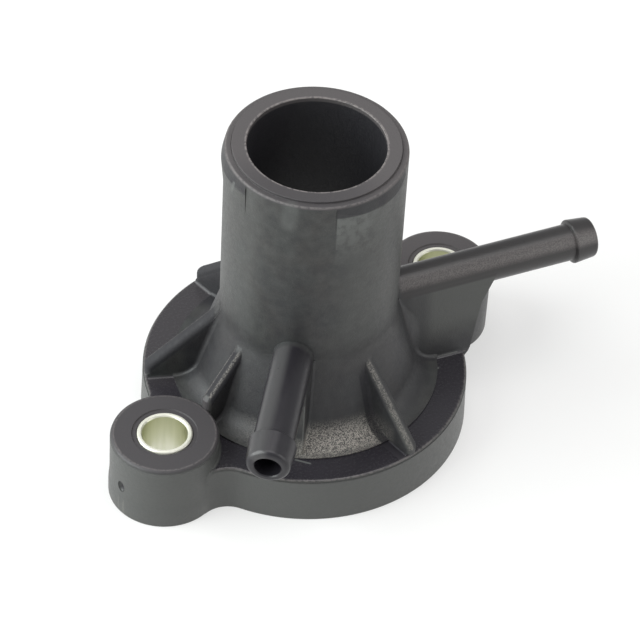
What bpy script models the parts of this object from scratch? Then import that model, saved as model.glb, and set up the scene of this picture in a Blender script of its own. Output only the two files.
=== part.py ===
"""Thermostat housing of a car engine, in metres, +Z up along the hose neck.

The housing is one moulding in glass-filled nylon: a hose neck that widens
into a cone, a round flange with two bolt lugs, stiffening ribs round the
cone, and two small hose pipes that each stand on a web. A turned metal
sleeve is pressed into each lug, so that the bolts clamp metal and not
plastic. The underside has the seat and the chamber of the thermostat.
"""

import math

import bmesh
import bpy
from mathutils import Matrix, Vector

MM = 0.001

# Bolt lugs and their sleeves
BOLT_SPACING = 70.0 * MM
LUG_HEIGHT = 14.4 * MM
LUG_TOP_RADIUS = 10.1 * MM
LUG_BASE_RADIUS = 10.4 * MM
LUG_EDGE_ROUND = 0.6 * MM
LUG_STEP_HEIGHT = 3.6 * MM
LUG_STEP = 0.2 * MM
SLEEVE_BORE_RADIUS = 4.23 * MM
SLEEVE_WALL = 0.9 * MM
SLEEVE_PROUD = 0.1 * MM
SLEEVE_CHAMFER = 0.2 * MM
SLEEVE_GAP = 0.3 * MM
SLEEVE_RECESS_WIDTH = 0.8 * MM
SLEEVE_RECESS_DEPTH = 0.4 * MM

# Flange
FLANGE_RADIUS = 30.65 * MM
FLANGE_THICKNESS = 10.05 * MM
FLANGE_DRAFT = 0.4 * MM
FLANGE_EDGE_ROUND = 0.45 * MM
LUG_FILLET_RADIUS = 6.0 * MM

# Neck and cone
HOUSING_HEIGHT = 65.5 * MM
BORE_RADIUS = 12.65 * MM
BORE_CHAMFER = 0.3 * MM
NECK_TOP_RADIUS = 16.4 * MM
NECK_FOOT_RADIUS = 16.95 * MM
NECK_FOOT_HEIGHT = 25.4 * MM
NECK_FOOT_ROUND = 8.0 * MM
CONE_SLOPE = 0.305
CONE_FILLET_RADIUS = 5.0 * MM
CONE_EDGE = 0.35 * MM

# Rim of the neck
RIM_FACE_RADIUS = 15.05 * MM
RIM_STEP_DEPTH = 0.45 * MM
RIM_STEP_WIDTH = 0.6 * MM
RIM_CHAMFER = 0.4 * MM

# Bead that keeps the hose on, in separate arcs
BEAD_COUNT = 3
BEAD_RADIUS = 16.85 * MM
BEAD_HEIGHT = 2.4 * MM
BEAD_TOP_DROP = 0.75 * MM
BEAD_CHAMFER = 0.2 * MM
BEAD_SWEEP = math.radians(58.5)
BEAD_FIRST_ANGLE = math.radians(29.5)

# Ribs round the cone
RIB_CREST_ROUND = 0.5 * MM
RIB_RIM_SETBACK = 0.1 * MM
TALL_RIB_THICKNESS = 2.8 * MM
TALL_RIB_ANGLES = (math.radians(35.0), math.radians(90.0), math.radians(145.0))
TALL_RIB_TOP = 26.3 * MM
TALL_RIB_END = 12.8 * MM
TALL_RIB_BLEND = 8.5 * MM
TALL_RIB_RISE = 6.0 * MM
RIB_END_ROUND = 1.6 * MM
PLAIN_RIB_THICKNESS = 2.4 * MM
PLAIN_RIB_ANGLE = math.radians(-91.2)
PLAIN_RIB_TOP = 24.9 * MM
PLAIN_RIB_END = 11.9 * MM
LUG_RIB_THICKNESS = 2.4 * MM
LUG_RIB_ANGLES = (math.radians(0.0), math.radians(180.0))
LUG_RIB_TOP = 24.9 * MM
LUG_RIB_END = 16.4 * MM
LUG_RIB_OVERLAP = 0.5 * MM

# Side pipe, level, with a barb at its end
SIDE_PIPE_ANGLE = math.radians(-19.8)
SIDE_PIPE_HEIGHT = 24.42 * MM
SIDE_PIPE_RADIUS = 3.57 * MM
SIDE_PIPE_BORE_RADIUS = 2.5 * MM
SIDE_PIPE_REACH = 58.8 * MM
SIDE_BARB_LENGTH = 4.8 * MM
SIDE_BARB_RADIUS = 4.3 * MM
SIDE_BARB_TIP_RADIUS = 3.85 * MM
SIDE_TIP_ROUND = 0.55 * MM

# Web under the side pipe: flared on its open side, upright beside the lug
SIDE_WEB_TOP_HALF = 3.4 * MM
SIDE_WEB_OPEN_FOOT = 7.3 * MM
SIDE_WEB_LUG_FOOT = 4.0 * MM
SIDE_WEB_TOP_REACH = 34.2 * MM
SIDE_WEB_FOOT_REACH = 30.9 * MM
SIDE_WEB_GUSSET = 2.2 * MM

# Front nipple, sloping down a little, with a barb at its end
NIPPLE_ANGLE = math.radians(-142.2)
NIPPLE_HEIGHT = 29.55 * MM
NIPPLE_SLOPE = math.radians(5.2)
NIPPLE_RADIUS = 3.76 * MM
NIPPLE_BORE_RADIUS = 2.45 * MM
NIPPLE_REACH = 42.9 * MM
NIPPLE_BARB_LENGTH = 5.7 * MM
NIPPLE_BARB_RADIUS = 4.45 * MM
NIPPLE_TIP_RADIUS = 3.95 * MM
NIPPLE_TIP_ROUND = 0.7 * MM
NIPPLE_WEB_TOP_WIDTH = 7.3 * MM
NIPPLE_WEB_FOOT_WIDTH = 7.7 * MM
NIPPLE_WEB_REACH = 24.2 * MM

# Underside: seat and chamber of the thermostat
SEAT_RADIUS = 26.0 * MM
SEAT_DEPTH = 3.0 * MM
CHAMBER_RADIUS = 22.8 * MM
CHAMBER_HEIGHT = 7.2 * MM
CONE_WALL = 3.1 * MM
CHAMBER_EDGE_ROUND = 1.5 * MM

# Fineness of the round forms
NECK_FACETS = 64
LUG_FACETS = 42
SLEEVE_FACETS = 40
PIPE_FACETS = 24
PIPE_BORE_FACETS = 20
ARC_STEPS = 4
FLANGE_ARC_STEPS = 30
BEAD_STEPS = 12

# Depths by which joined forms run into each other and cutters run past a face
ROOT_DEPTH = 4.0 * MM
SKIN_OVERLAP = 0.05 * MM
CUT_MARGIN = 1.0 * MM
MERGE_DISTANCE = 0.0001 * MM
SHARP_ANGLE = math.radians(28.0)


def rounded_path(corners, steps=ARC_STEPS):
    """Points along straight runs whose corners are rounded by an arc.

    Each corner is (x, y) where it stays sharp, or (x, y, radius).
    """
    places = [Vector(corner[:2]) for corner in corners]
    path = []
    for index, corner in enumerate(corners):
        here = places[index]
        if len(corner) == 2:
            path.append(here)
            continue
        back = (places[index - 1] - here).normalized()
        ahead = (places[index + 1] - here).normalized()
        half_turn = (math.pi - back.angle(ahead)) / 2
        run = corner[2] * math.tan(half_turn)
        centre = here + (back + ahead).normalized() * corner[2] / math.cos(half_turn)
        start = here + back * run - centre
        turn = start.angle_signed(here + ahead * run - centre)
        for step in range(steps + 1):
            spoke = Matrix.Rotation(-turn * step / steps, 2) @ start
            path.append(centre + spoke)
    return [(point.x, point.y) for point in path]


def arc_points(centre, radius, start, end, steps):
    """Points on a circle from one angle to another, both ends included."""
    angles = [start + (end - start) * step / steps for step in range(steps + 1)]
    return [
        (centre[0] + radius * math.cos(angle), centre[1] + radius * math.sin(angle))
        for angle in angles
    ]


def closed_object(name, bm):
    """Turn a finished bmesh into an object whose faces point outwards."""
    bmesh.ops.remove_doubles(bm, verts=bm.verts, dist=MERGE_DISTANCE)
    bmesh.ops.recalc_face_normals(bm, faces=bm.faces)
    mesh = bpy.data.meshes.new(name)
    bm.to_mesh(mesh)
    bm.free()
    solid = bpy.data.objects.new(name, mesh)
    bpy.context.scene.collection.objects.link(solid)
    return solid


def profile_loop(bm, profile, closed):
    """Draw a profile of (radius, height) points in the XZ plane."""
    verts = [bm.verts.new((radius, 0.0, height)) for radius, height in profile]
    edges = [bm.edges.new(pair) for pair in zip(verts, verts[1:])]
    if closed:
        edges.append(bm.edges.new((verts[-1], verts[0])))
    return verts, edges


def turned_solid(name, profile, facets, closed=False):
    """Turn a profile once round the Z axis.

    An open profile starts and ends on the axis; a closed one makes a ring.
    """
    bm = bmesh.new()
    verts, edges = profile_loop(bm, profile, closed)
    bmesh.ops.spin(
        bm,
        geom=verts + edges,
        cent=(0.0, 0.0, 0.0),
        axis=(0.0, 0.0, 1.0),
        angle=2 * math.pi,
        steps=facets,
        use_merge=True,
    )
    bmesh.ops.remove_doubles(bm, verts=bm.verts, dist=MERGE_DISTANCE)
    if not closed:
        on_axis = [vert for vert in bm.verts if vert.co.xy.length < MERGE_DISTANCE]
        bmesh.ops.dissolve_verts(bm, verts=on_axis)
    return closed_object(name, bm)


def arc_bar(name, section, start, sweep, steps):
    """Sweep a closed section part of the way round the Z axis."""
    bm = bmesh.new()
    verts, edges = profile_loop(bm, section, closed=True)
    first = bm.faces.new(verts)
    bmesh.ops.spin(
        bm,
        geom=verts + edges + [first],
        cent=(0.0, 0.0, 0.0),
        axis=(0.0, 0.0, 1.0),
        angle=sweep,
        steps=steps,
        use_duplicate=False,
    )
    bar = closed_object(name, bm)
    bar.data.transform(Matrix.Rotation(start, 4, "Z"))
    return bar


def lofted_solid(name, sections):
    """Skin level sections of as many points each, from the lowest up.

    Each section is (height, points), with its points listed anticlockwise.
    """
    bm = bmesh.new()
    rings = []
    for height, points in sections:
        verts = [bm.verts.new((x, y, height)) for x, y in points]
        edges = [bm.edges.new(pair) for pair in zip(verts, verts[1:] + verts[:1])]
        rings.append((verts, edges))
    for lower, upper in zip(rings, rings[1:]):
        bmesh.ops.bridge_loops(bm, edges=lower[1] + upper[1])
    bm.faces.new(list(reversed(rings[0][0])))
    bm.faces.new(rings[-1][0])
    return closed_object(name, bm)


def boolean(target, tools, operation):
    """Join tools to the target or cut them out of it, and delete the tools."""
    for tool in tools:
        modifier = target.modifiers.new(tool.name, "BOOLEAN")
        modifier.operation = operation
        modifier.solver = "EXACT"
        modifier.object = tool
    depsgraph = bpy.context.evaluated_depsgraph_get()
    result = bpy.data.meshes.new_from_object(target.evaluated_get(depsgraph))
    target.modifiers.clear()
    target.data = result
    for tool in tools:
        bpy.data.objects.remove(tool)


def place_on_ray(solid, angle, height=0.0, slope=0.0):
    """Lay a solid built along +Z on a ray that leaves the neck's axis."""
    lay_down = Matrix.Rotation(math.pi / 2 + slope, 4, "Y")
    swing = Matrix.Rotation(angle, 4, "Z")
    solid.data.transform(Matrix.Translation((0.0, 0.0, height)) @ swing @ lay_down)


def cone_radius(height):
    """Outer radius of the cone at a height."""
    return NECK_FOOT_RADIUS + (NECK_FOOT_HEIGHT - height) * CONE_SLOPE


def neck_and_cone():
    """The solid body of the neck, its stepped rim, the cone and its foot."""
    foot_top = FLANGE_THICKNESS + CONE_EDGE
    toe = cone_radius(foot_top)
    half_turn = (math.pi / 2 - math.atan(CONE_SLOPE)) / 2
    foot_radius = toe + CONE_FILLET_RADIUS * math.tan(half_turn)
    step_height = HOUSING_HEIGHT - RIM_STEP_DEPTH
    profile = rounded_path([
        (0.0, FLANGE_THICKNESS - ROOT_DEPTH),
        (foot_radius, FLANGE_THICKNESS - ROOT_DEPTH),
        (foot_radius, foot_top),
        (toe, foot_top, CONE_FILLET_RADIUS),
        (NECK_FOOT_RADIUS, NECK_FOOT_HEIGHT, NECK_FOOT_ROUND),
        (NECK_TOP_RADIUS, step_height - RIM_CHAMFER),
        (RIM_FACE_RADIUS + RIM_STEP_WIDTH, step_height),
        (RIM_FACE_RADIUS, step_height),
        (RIM_FACE_RADIUS, HOUSING_HEIGHT),
        (0.0, HOUSING_HEIGHT),
    ])
    return turned_solid("neck_and_cone", profile, NECK_FACETS)


def flange_outline(inset):
    """Outline of the flange with the fillets that lead into both lugs.

    It is closed by a chord inside each lug, and shrinks by the inset.
    """
    flange = FLANGE_RADIUS - inset
    lug = LUG_TOP_RADIUS - SKIN_OVERLAP - inset
    fillet = LUG_FILLET_RADIUS + inset
    lug_x = BOLT_SPACING / 2
    to_flange = flange + fillet
    to_lug = lug + fillet
    cosine = (to_flange ** 2 + lug_x ** 2 - to_lug ** 2) / (2 * to_flange * lug_x)
    spread = math.acos(cosine)
    centre = (to_flange * cosine, to_flange * math.sin(spread))
    lug_side = math.atan2(-centre[1], lug_x - centre[0])
    near = arc_points(centre, fillet, lug_side, spread - math.pi, ARC_STEPS)
    crown = arc_points((0.0, 0.0), flange, spread, math.pi - spread, FLANGE_ARC_STEPS)
    far = [(-x, y) for x, y in reversed(near)]
    upper = near + crown[1:-1] + far
    lower = [(-x, -y) for x, y in upper]
    return upper + lower


def flange_plate():
    """The flange with its draft and rounded top edge."""
    edge_start = FLANGE_THICKNESS - FLANGE_EDGE_ROUND
    sections = [(0.0, flange_outline(-FLANGE_DRAFT))]
    for step in range(ARC_STEPS):
        turn = math.pi / 2 * step / (ARC_STEPS - 1)
        height = edge_start + FLANGE_EDGE_ROUND * math.sin(turn)
        inset = FLANGE_EDGE_ROUND * (1 - math.cos(turn))
        sections.append((height, flange_outline(inset)))
    return lofted_solid("flange_plate", sections)


def bolt_lug(side):
    """A round lug with a mould step low on its side and a rounded top."""
    profile = rounded_path([
        (0.0, 0.0),
        (LUG_BASE_RADIUS, 0.0),
        (LUG_BASE_RADIUS, LUG_STEP_HEIGHT),
        (LUG_BASE_RADIUS - LUG_STEP, LUG_STEP_HEIGHT + LUG_STEP),
        (LUG_TOP_RADIUS, LUG_HEIGHT, LUG_EDGE_ROUND),
        (0.0, LUG_HEIGHT),
    ])
    lug = turned_solid("bolt_lug", profile, LUG_FACETS)
    lug.data.transform(Matrix.Translation((side * BOLT_SPACING / 2, 0.0, 0.0)))
    return lug


def hose_bead(index):
    """One arc of the bead below the rim."""
    top = HOUSING_HEIGHT - BEAD_TOP_DROP
    root = NECK_TOP_RADIUS - BEAD_CHAMFER * 2
    section = [
        (root, top - BEAD_HEIGHT),
        (BEAD_RADIUS, top - BEAD_HEIGHT),
        (BEAD_RADIUS, top - BEAD_CHAMFER),
        (BEAD_RADIUS - BEAD_CHAMFER, top),
        (root, top),
    ]
    middle = BEAD_FIRST_ANGLE + 2 * math.pi * index / BEAD_COUNT
    return arc_bar("hose_bead", section, middle - BEAD_SWEEP / 2, BEAD_SWEEP, BEAD_STEPS)


def wall_middle():
    """Radius halfway through the wall of the neck, where joined forms start."""
    return (BORE_RADIUS + NECK_TOP_RADIUS) / 2


def rib(name, angle, thickness, crest):
    """A flat rib under a crest that runs outwards from inside the neck."""
    outer_end = crest[-1][0]
    foot = FLANGE_THICKNESS - ROOT_DEPTH
    bm = bmesh.new()
    outline = crest + [(outer_end, foot), (crest[0][0], foot)]
    verts = [bm.verts.new((x, -thickness / 2, z)) for x, z in outline]
    side = bm.faces.new(verts)
    grown = bmesh.ops.extrude_face_region(bm, geom=[side])["geom"]
    moved = [item for item in grown if isinstance(item, bmesh.types.BMVert)]
    bmesh.ops.translate(bm, verts=moved, vec=(0.0, thickness, 0.0))
    crest_edges = [
        edge for edge in bm.edges
        if abs(edge.verts[0].co.y - edge.verts[1].co.y) < MERGE_DISTANCE
        and max(vert.co.x for vert in edge.verts) > crest[0][0] + MERGE_DISTANCE
        and max(vert.co.z for vert in edge.verts) > foot + MERGE_DISTANCE
    ]
    bmesh.ops.bevel(
        bm,
        geom=crest_edges,
        offset=RIB_CREST_ROUND,
        offset_type="OFFSET",
        affect="EDGES",
        segments=2,
        profile=0.5,
        material=-1,
    )
    solid = closed_object(name, bm)
    solid.data.transform(Matrix.Rotation(angle, 4, "Z"))
    return solid


def crest_start(top, end, end_radius):
    """Point inside the neck wall on the straight crest line of a rib."""
    inside = wall_middle()
    slope = (end - top) / (end_radius - NECK_FOOT_RADIUS)
    return inside, top + slope * (inside - NECK_FOOT_RADIUS)


def ribs():
    """All the ribs: tall ones, the plain one and those that end on the lugs."""
    rim = FLANGE_RADIUS - RIB_RIM_SETBACK
    foot = FLANGE_THICKNESS
    neck_skin = NECK_FOOT_RADIUS - RIB_RIM_SETBACK * 2
    tall = rounded_path([
        (wall_middle(), TALL_RIB_TOP + TALL_RIB_RISE),
        (neck_skin, TALL_RIB_TOP + TALL_RIB_RISE),
        (neck_skin, TALL_RIB_TOP, TALL_RIB_BLEND),
        (rim, TALL_RIB_END, RIB_END_ROUND),
        (rim, foot),
    ])
    plain = rounded_path([
        crest_start(PLAIN_RIB_TOP, PLAIN_RIB_END, rim),
        (rim, PLAIN_RIB_END, RIB_END_ROUND),
        (rim, foot),
    ])
    lug_end = BOLT_SPACING / 2 - LUG_TOP_RADIUS + LUG_RIB_OVERLAP
    lug_crest = rounded_path([
        crest_start(LUG_RIB_TOP, LUG_RIB_END, lug_end),
        (lug_end, LUG_RIB_END),
        (lug_end, foot),
    ])
    made = [rib("tall_rib", angle, TALL_RIB_THICKNESS, tall) for angle in TALL_RIB_ANGLES]
    made.append(rib("plain_rib", PLAIN_RIB_ANGLE, PLAIN_RIB_THICKNESS, plain))
    made += [rib("lug_rib", angle, LUG_RIB_THICKNESS, lug_crest) for angle in LUG_RIB_ANGLES]
    return made


def barbed_pipe(name, radius, reach, barb_length, barb_radius, tip_radius, tip_round):
    """A pipe along +Z that ends in a barb, solid until its bore is cut."""
    root = wall_middle()
    barb_start = reach - barb_length
    shoulder = barb_radius - radius
    profile = rounded_path([
        (0.0, root),
        (radius, root),
        (radius, barb_start),
        (barb_radius, barb_start + shoulder / 2, shoulder / 2),
        (tip_radius, reach, tip_round),
        (0.0, reach),
    ])
    return turned_solid(name, profile, PIPE_FACETS)


def web_section(reach, right, left):
    """Corners of a level section of a web that lies along +X, anticlockwise."""
    near = wall_middle()
    return [(near, -right), (reach, -right), (reach, left), (near, left)]


def side_pipe():
    """The level side pipe."""
    pipe = barbed_pipe(
        "side_pipe", SIDE_PIPE_RADIUS, SIDE_PIPE_REACH, SIDE_BARB_LENGTH,
        SIDE_BARB_RADIUS, SIDE_BARB_TIP_RADIUS, SIDE_TIP_ROUND,
    )
    place_on_ray(pipe, SIDE_PIPE_ANGLE, SIDE_PIPE_HEIGHT)
    return pipe


def side_web():
    """The web under the side pipe, with a small gusset at its top.

    Its open side flares like the cone, its other side keeps clear of the lug.
    """
    drop = math.sqrt(SIDE_PIPE_RADIUS ** 2 - SIDE_WEB_TOP_HALF ** 2)
    gusset_top = SIDE_PIPE_HEIGHT - drop
    gusset_foot = gusset_top - SIDE_WEB_GUSSET
    gusset_reach = SIDE_WEB_TOP_REACH + SIDE_WEB_GUSSET
    rise = gusset_top - FLANGE_THICKNESS
    flare = (SIDE_WEB_OPEN_FOOT - SIDE_WEB_TOP_HALF) / rise
    lean = (SIDE_WEB_LUG_FOOT - SIDE_WEB_TOP_HALF) / rise
    web = lofted_solid("side_web", [
        (height, web_section(
            reach,
            SIDE_WEB_TOP_HALF + flare * max(gusset_top - height, 0.0),
            SIDE_WEB_TOP_HALF + lean * max(gusset_top - height, 0.0),
        ))
        for height, reach in (
            (FLANGE_THICKNESS - ROOT_DEPTH, SIDE_WEB_FOOT_REACH - ROOT_DEPTH),
            (FLANGE_THICKNESS - FLANGE_EDGE_ROUND, SIDE_WEB_FOOT_REACH - FLANGE_EDGE_ROUND),
            (FLANGE_THICKNESS + CONE_EDGE, SIDE_WEB_FOOT_REACH),
            (gusset_foot, SIDE_WEB_TOP_REACH),
            (gusset_top, gusset_reach),
            (SIDE_PIPE_HEIGHT, gusset_reach),
        )
    ])
    web.data.transform(Matrix.Rotation(SIDE_PIPE_ANGLE, 4, "Z"))
    return web


def nipple():
    """The front nipple, which slopes down towards its tip."""
    pipe = barbed_pipe(
        "nipple", NIPPLE_RADIUS, NIPPLE_REACH, NIPPLE_BARB_LENGTH,
        NIPPLE_BARB_RADIUS, NIPPLE_TIP_RADIUS, NIPPLE_TIP_ROUND,
    )
    place_on_ray(pipe, NIPPLE_ANGLE, NIPPLE_HEIGHT, NIPPLE_SLOPE)
    return pipe


def nipple_web():
    """The web under the nipple, with an upright outer face."""
    axis_height = NIPPLE_HEIGHT - NIPPLE_WEB_REACH * math.tan(NIPPLE_SLOPE)
    foot_half = NIPPLE_WEB_FOOT_WIDTH / 2
    top_half = NIPPLE_WEB_TOP_WIDTH / 2
    web = lofted_solid("nipple_web", [
        (FLANGE_THICKNESS - ROOT_DEPTH, web_section(NIPPLE_WEB_REACH, foot_half, foot_half)),
        (FLANGE_THICKNESS, web_section(NIPPLE_WEB_REACH, foot_half, foot_half)),
        (axis_height, web_section(NIPPLE_WEB_REACH, top_half, top_half)),
    ])
    web.data.transform(Matrix.Rotation(NIPPLE_ANGLE, 4, "Z"))
    return web


def waterway():
    """Cutter for the thermostat's seat and chamber and the neck's bore."""
    sloped_wall = CONE_WALL * math.sqrt(1 + CONE_SLOPE ** 2)
    throat = cone_radius(CHAMBER_HEIGHT) - sloped_wall
    throat_end = CHAMBER_HEIGHT + (throat - BORE_RADIUS) / CONE_SLOPE
    profile = rounded_path([
        (0.0, -CUT_MARGIN),
        (SEAT_RADIUS, -CUT_MARGIN),
        (SEAT_RADIUS, SEAT_DEPTH),
        (CHAMBER_RADIUS, SEAT_DEPTH),
        (CHAMBER_RADIUS, CHAMBER_HEIGHT, CHAMBER_EDGE_ROUND),
        (throat, CHAMBER_HEIGHT, CHAMBER_EDGE_ROUND),
        (BORE_RADIUS, throat_end, NECK_FOOT_ROUND),
        (BORE_RADIUS, HOUSING_HEIGHT - BORE_CHAMFER),
        (BORE_RADIUS + BORE_CHAMFER, HOUSING_HEIGHT),
        (BORE_RADIUS + BORE_CHAMFER, HOUSING_HEIGHT + CUT_MARGIN),
        (0.0, HOUSING_HEIGHT + CUT_MARGIN),
    ])
    return turned_solid("waterway", profile, NECK_FACETS)


def sleeve_seat(side):
    """Cutter for the hole that holds a sleeve and the shallow ring round it."""
    hole = SLEEVE_BORE_RADIUS + SLEEVE_WALL + SLEEVE_GAP
    recess = SLEEVE_BORE_RADIUS + SLEEVE_WALL + SLEEVE_RECESS_WIDTH
    floor = LUG_HEIGHT - SLEEVE_RECESS_DEPTH
    seat = turned_solid("sleeve_seat", [
        (0.0, -CUT_MARGIN),
        (hole, -CUT_MARGIN),
        (hole, floor),
        (recess, floor),
        (recess, LUG_HEIGHT + CUT_MARGIN),
        (0.0, LUG_HEIGHT + CUT_MARGIN),
    ], SLEEVE_FACETS)
    seat.data.transform(Matrix.Translation((side * BOLT_SPACING / 2, 0.0, 0.0)))
    return seat


def pipe_bore(name, radius, reach, angle, height, slope=0.0):
    """Cutter for the bore of a pipe, from the neck's bore out past its tip."""
    start = BORE_RADIUS / 2
    bore = turned_solid(name, [
        (0.0, start),
        (radius, start),
        (radius, reach + CUT_MARGIN),
        (0.0, reach + CUT_MARGIN),
    ], PIPE_BORE_FACETS)
    place_on_ray(bore, angle, height, slope)
    return bore


def housing():
    """The whole moulding as one solid."""
    body = flange_plate()
    body.name = "housing"
    boolean(body, [bolt_lug(-1), bolt_lug(1), neck_and_cone()], "UNION")
    boolean(body, ribs(), "UNION")
    boolean(body, [side_web(), nipple_web(), side_pipe(), nipple()], "UNION")
    boolean(body, [hose_bead(index) for index in range(BEAD_COUNT)], "UNION")
    boolean(body, [
        waterway(),
        sleeve_seat(-1),
        sleeve_seat(1),
        pipe_bore("side_pipe_bore", SIDE_PIPE_BORE_RADIUS, SIDE_PIPE_REACH, SIDE_PIPE_ANGLE, SIDE_PIPE_HEIGHT),
        pipe_bore("nipple_bore", NIPPLE_BORE_RADIUS, NIPPLE_REACH, NIPPLE_ANGLE, NIPPLE_HEIGHT, NIPPLE_SLOPE),
    ], "DIFFERENCE")
    return body


def bolt_sleeve(name, side):
    """A turned sleeve that stands in its lug from face to face."""
    outer = SLEEVE_BORE_RADIUS + SLEEVE_WALL
    inner = SLEEVE_BORE_RADIUS
    top = LUG_HEIGHT + SLEEVE_PROUD
    cut = SLEEVE_CHAMFER
    sleeve = turned_solid(name, [
        (inner + cut, 0.0),
        (outer - cut, 0.0),
        (outer, cut),
        (outer, top - cut),
        (outer - cut, top),
        (inner + cut, top),
        (inner, top - cut),
        (inner, cut),
    ], SLEEVE_FACETS, closed=True)
    sleeve.location = (side * BOLT_SPACING / 2, 0.0, 0.0)
    return sleeve


def finish(name, colour, roughness, metallic):
    """A plain material with one colour all over."""
    material = bpy.data.materials.new(name)
    material.use_nodes = True
    shader = material.node_tree.nodes["Principled BSDF"]
    shader.inputs["Base Color"].default_value = (*colour, 1.0)
    shader.inputs["Roughness"].default_value = roughness
    shader.inputs["Metallic"].default_value = metallic
    return material


def dress(solid, material):
    """Give a solid its material, smooth rounds and sharp corners."""
    solid.data.materials.clear()
    solid.data.materials.append(material)
    solid.data.shade_smooth()
    solid.data.set_sharp_from_angle(angle=SHARP_ANGLE)


def middle_of_length():
    """Place along X that is halfway between the front lug and the pipe's tip."""
    swing = abs(SIDE_PIPE_ANGLE)
    along = (SIDE_PIPE_REACH - SIDE_TIP_ROUND) * math.cos(swing)
    across = (SIDE_BARB_TIP_RADIUS - SIDE_TIP_ROUND) * math.sin(swing)
    tip = along + across + SIDE_TIP_ROUND
    front = -BOLT_SPACING / 2 - LUG_BASE_RADIUS
    return (tip + front) / 2


def build():
    """Model the housing and its two sleeves, with the origin under the middle."""
    for old in list(bpy.data.objects):
        bpy.data.objects.remove(old)
    base = bpy.data.objects.new("housing_origin", None)
    bpy.context.scene.collection.objects.link(base)
    base.location = (-middle_of_length(), 0.0, 0.0)
    nylon = finish("black_nylon", (0.030, 0.030, 0.033), 0.55, 0.0)
    zinc = finish("zinc_plated_steel", (0.72, 0.73, 0.64), 0.30, 1.0)
    moulding = housing()
    front = bolt_sleeve("bolt_sleeve_front", -1)
    rear = bolt_sleeve("bolt_sleeve_rear", 1)
    for solid, material in ((moulding, nylon), (front, zinc), (rear, zinc)):
        dress(solid, material)
        solid.parent = base


build()
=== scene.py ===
"""Looks of a moulded thermostat housing: fine moulding, grained nylon, bright sleeves."""

import functools
import logging
import math
from collections.abc import Callable, Sequence
from dataclasses import dataclass, replace
from enum import Enum, IntEnum

import bmesh
import bpy
from mathutils import Matrix, Vector


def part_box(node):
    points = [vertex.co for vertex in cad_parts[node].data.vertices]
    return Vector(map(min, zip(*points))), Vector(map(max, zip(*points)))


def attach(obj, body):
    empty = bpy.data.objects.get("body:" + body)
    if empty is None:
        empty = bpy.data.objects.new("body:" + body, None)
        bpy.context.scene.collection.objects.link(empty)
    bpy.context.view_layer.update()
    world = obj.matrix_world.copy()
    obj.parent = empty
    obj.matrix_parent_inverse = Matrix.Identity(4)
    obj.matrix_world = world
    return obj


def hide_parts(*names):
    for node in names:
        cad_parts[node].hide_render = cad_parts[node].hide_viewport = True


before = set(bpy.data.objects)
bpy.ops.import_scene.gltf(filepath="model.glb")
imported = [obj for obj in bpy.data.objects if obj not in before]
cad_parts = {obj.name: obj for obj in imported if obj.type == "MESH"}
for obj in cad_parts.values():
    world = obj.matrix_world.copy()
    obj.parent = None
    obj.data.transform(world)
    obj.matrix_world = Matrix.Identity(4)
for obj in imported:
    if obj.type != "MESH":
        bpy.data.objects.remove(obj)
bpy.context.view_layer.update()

MM = 0.001
MERGE = 0.0002 * MM
OVERLAP = 0.012 * MM
log = logging.getLogger("thermostat_housing")

Point = tuple[float, float]
Triple = tuple[float, float, float]
Colour = tuple[float, float, float, float]
Skin = list[tuple[float, float, float, float]]
Ring = list[Vector]


class Join(Enum):
    """Ways in which one solid changes another."""

    ADD = "UNION"
    CUT = "DIFFERENCE"
    KEEP = "INTERSECT"


class RibKind(Enum):
    """Kinds of rib round the cone, by the names of their crests in a RibSet."""

    TALL = "tall"
    PLAIN = "plain"
    TO_LUG = "to_lug"


class Fineness(IntEnum):
    """Straight pieces that round forms are made of."""

    NECK = 144
    WATERWAY = 136
    LUG = 96
    SLEEVE_SEAT = 124
    SLEEVE = 128
    PIPE = 56
    PIPE_BORE = 50
    SMALL_ARC = 3
    BEAD_ARC = 4
    ARC = 6
    WIDE_ARC = 12
    CROWN = 72
    BALL_ROUND = 24
    BALL_RISE = 16


@dataclass(frozen=True)
class Place:
    """Where the part stands in its frame, and how far it reaches there."""

    axis_x: float
    lug_reach: float
    top: float
    sleeve_top: float

    @classmethod
    def from_frame(cls) -> "Place":
        """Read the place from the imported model.

        Returns:
            The place of the part.
        """
        front_low, front_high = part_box("bolt_sleeve_front")
        rear_low, rear_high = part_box("bolt_sleeve_rear")
        front = (front_low[0] + front_high[0]) / 2
        rear = (rear_low[0] + rear_high[0]) / 2
        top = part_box("housing")[1][2] - MERGE
        return cls((front + rear) / 2, (rear - front) / 2, top, front_high[2])


def smoothstep(value: float, low: float, high: float) -> float:
    """Rise smoothly from 0 at one value to 1 at another, which may be the lower."""
    share = min(max((value - low) / (high - low), 0.0), 1.0)
    return share * share * (3 - 2 * share)


def arc(centre: Point, radius: float, start: float, end: float, steps: int) -> list[Point]:
    """Points on an arc from one angle to another, both ends included."""
    turns = [start + (end - start) * step / steps for step in range(steps + 1)]
    return [(centre[0] + radius * math.cos(turn), centre[1] + radius * math.sin(turn)) for turn in turns]


def rounded(corners: Sequence[tuple[float, ...]], steps: int = Fineness.ARC) -> list[Point]:
    """Round the corners of a path.

    Args:
        corners: Corners as (x, y), or (x, y, radius) where an arc rounds them.
        steps: Straight pieces of each arc.

    Returns:
        The points of the rounded path.
    """
    places = [Vector(corner[:2]) for corner in corners]
    path: list[Vector] = []
    for index, corner in enumerate(corners):
        here = places[index]
        if len(corner) == 2:
            path.append(here)
            continue
        back = (places[index - 1] - here).normalized()
        ahead = (places[index + 1] - here).normalized()
        half_turn = (math.pi - back.angle(ahead)) / 2
        run = corner[2] * math.tan(half_turn)
        centre = here + (back + ahead).normalized() * corner[2] / math.cos(half_turn)
        start = here + back * run - centre
        turn = start.angle_signed(here + ahead * run - centre)
        path += [centre + Matrix.Rotation(-turn * step / steps, 2) @ start for step in range(steps + 1)]
    return [(point.x, point.y) for point in path]


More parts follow.
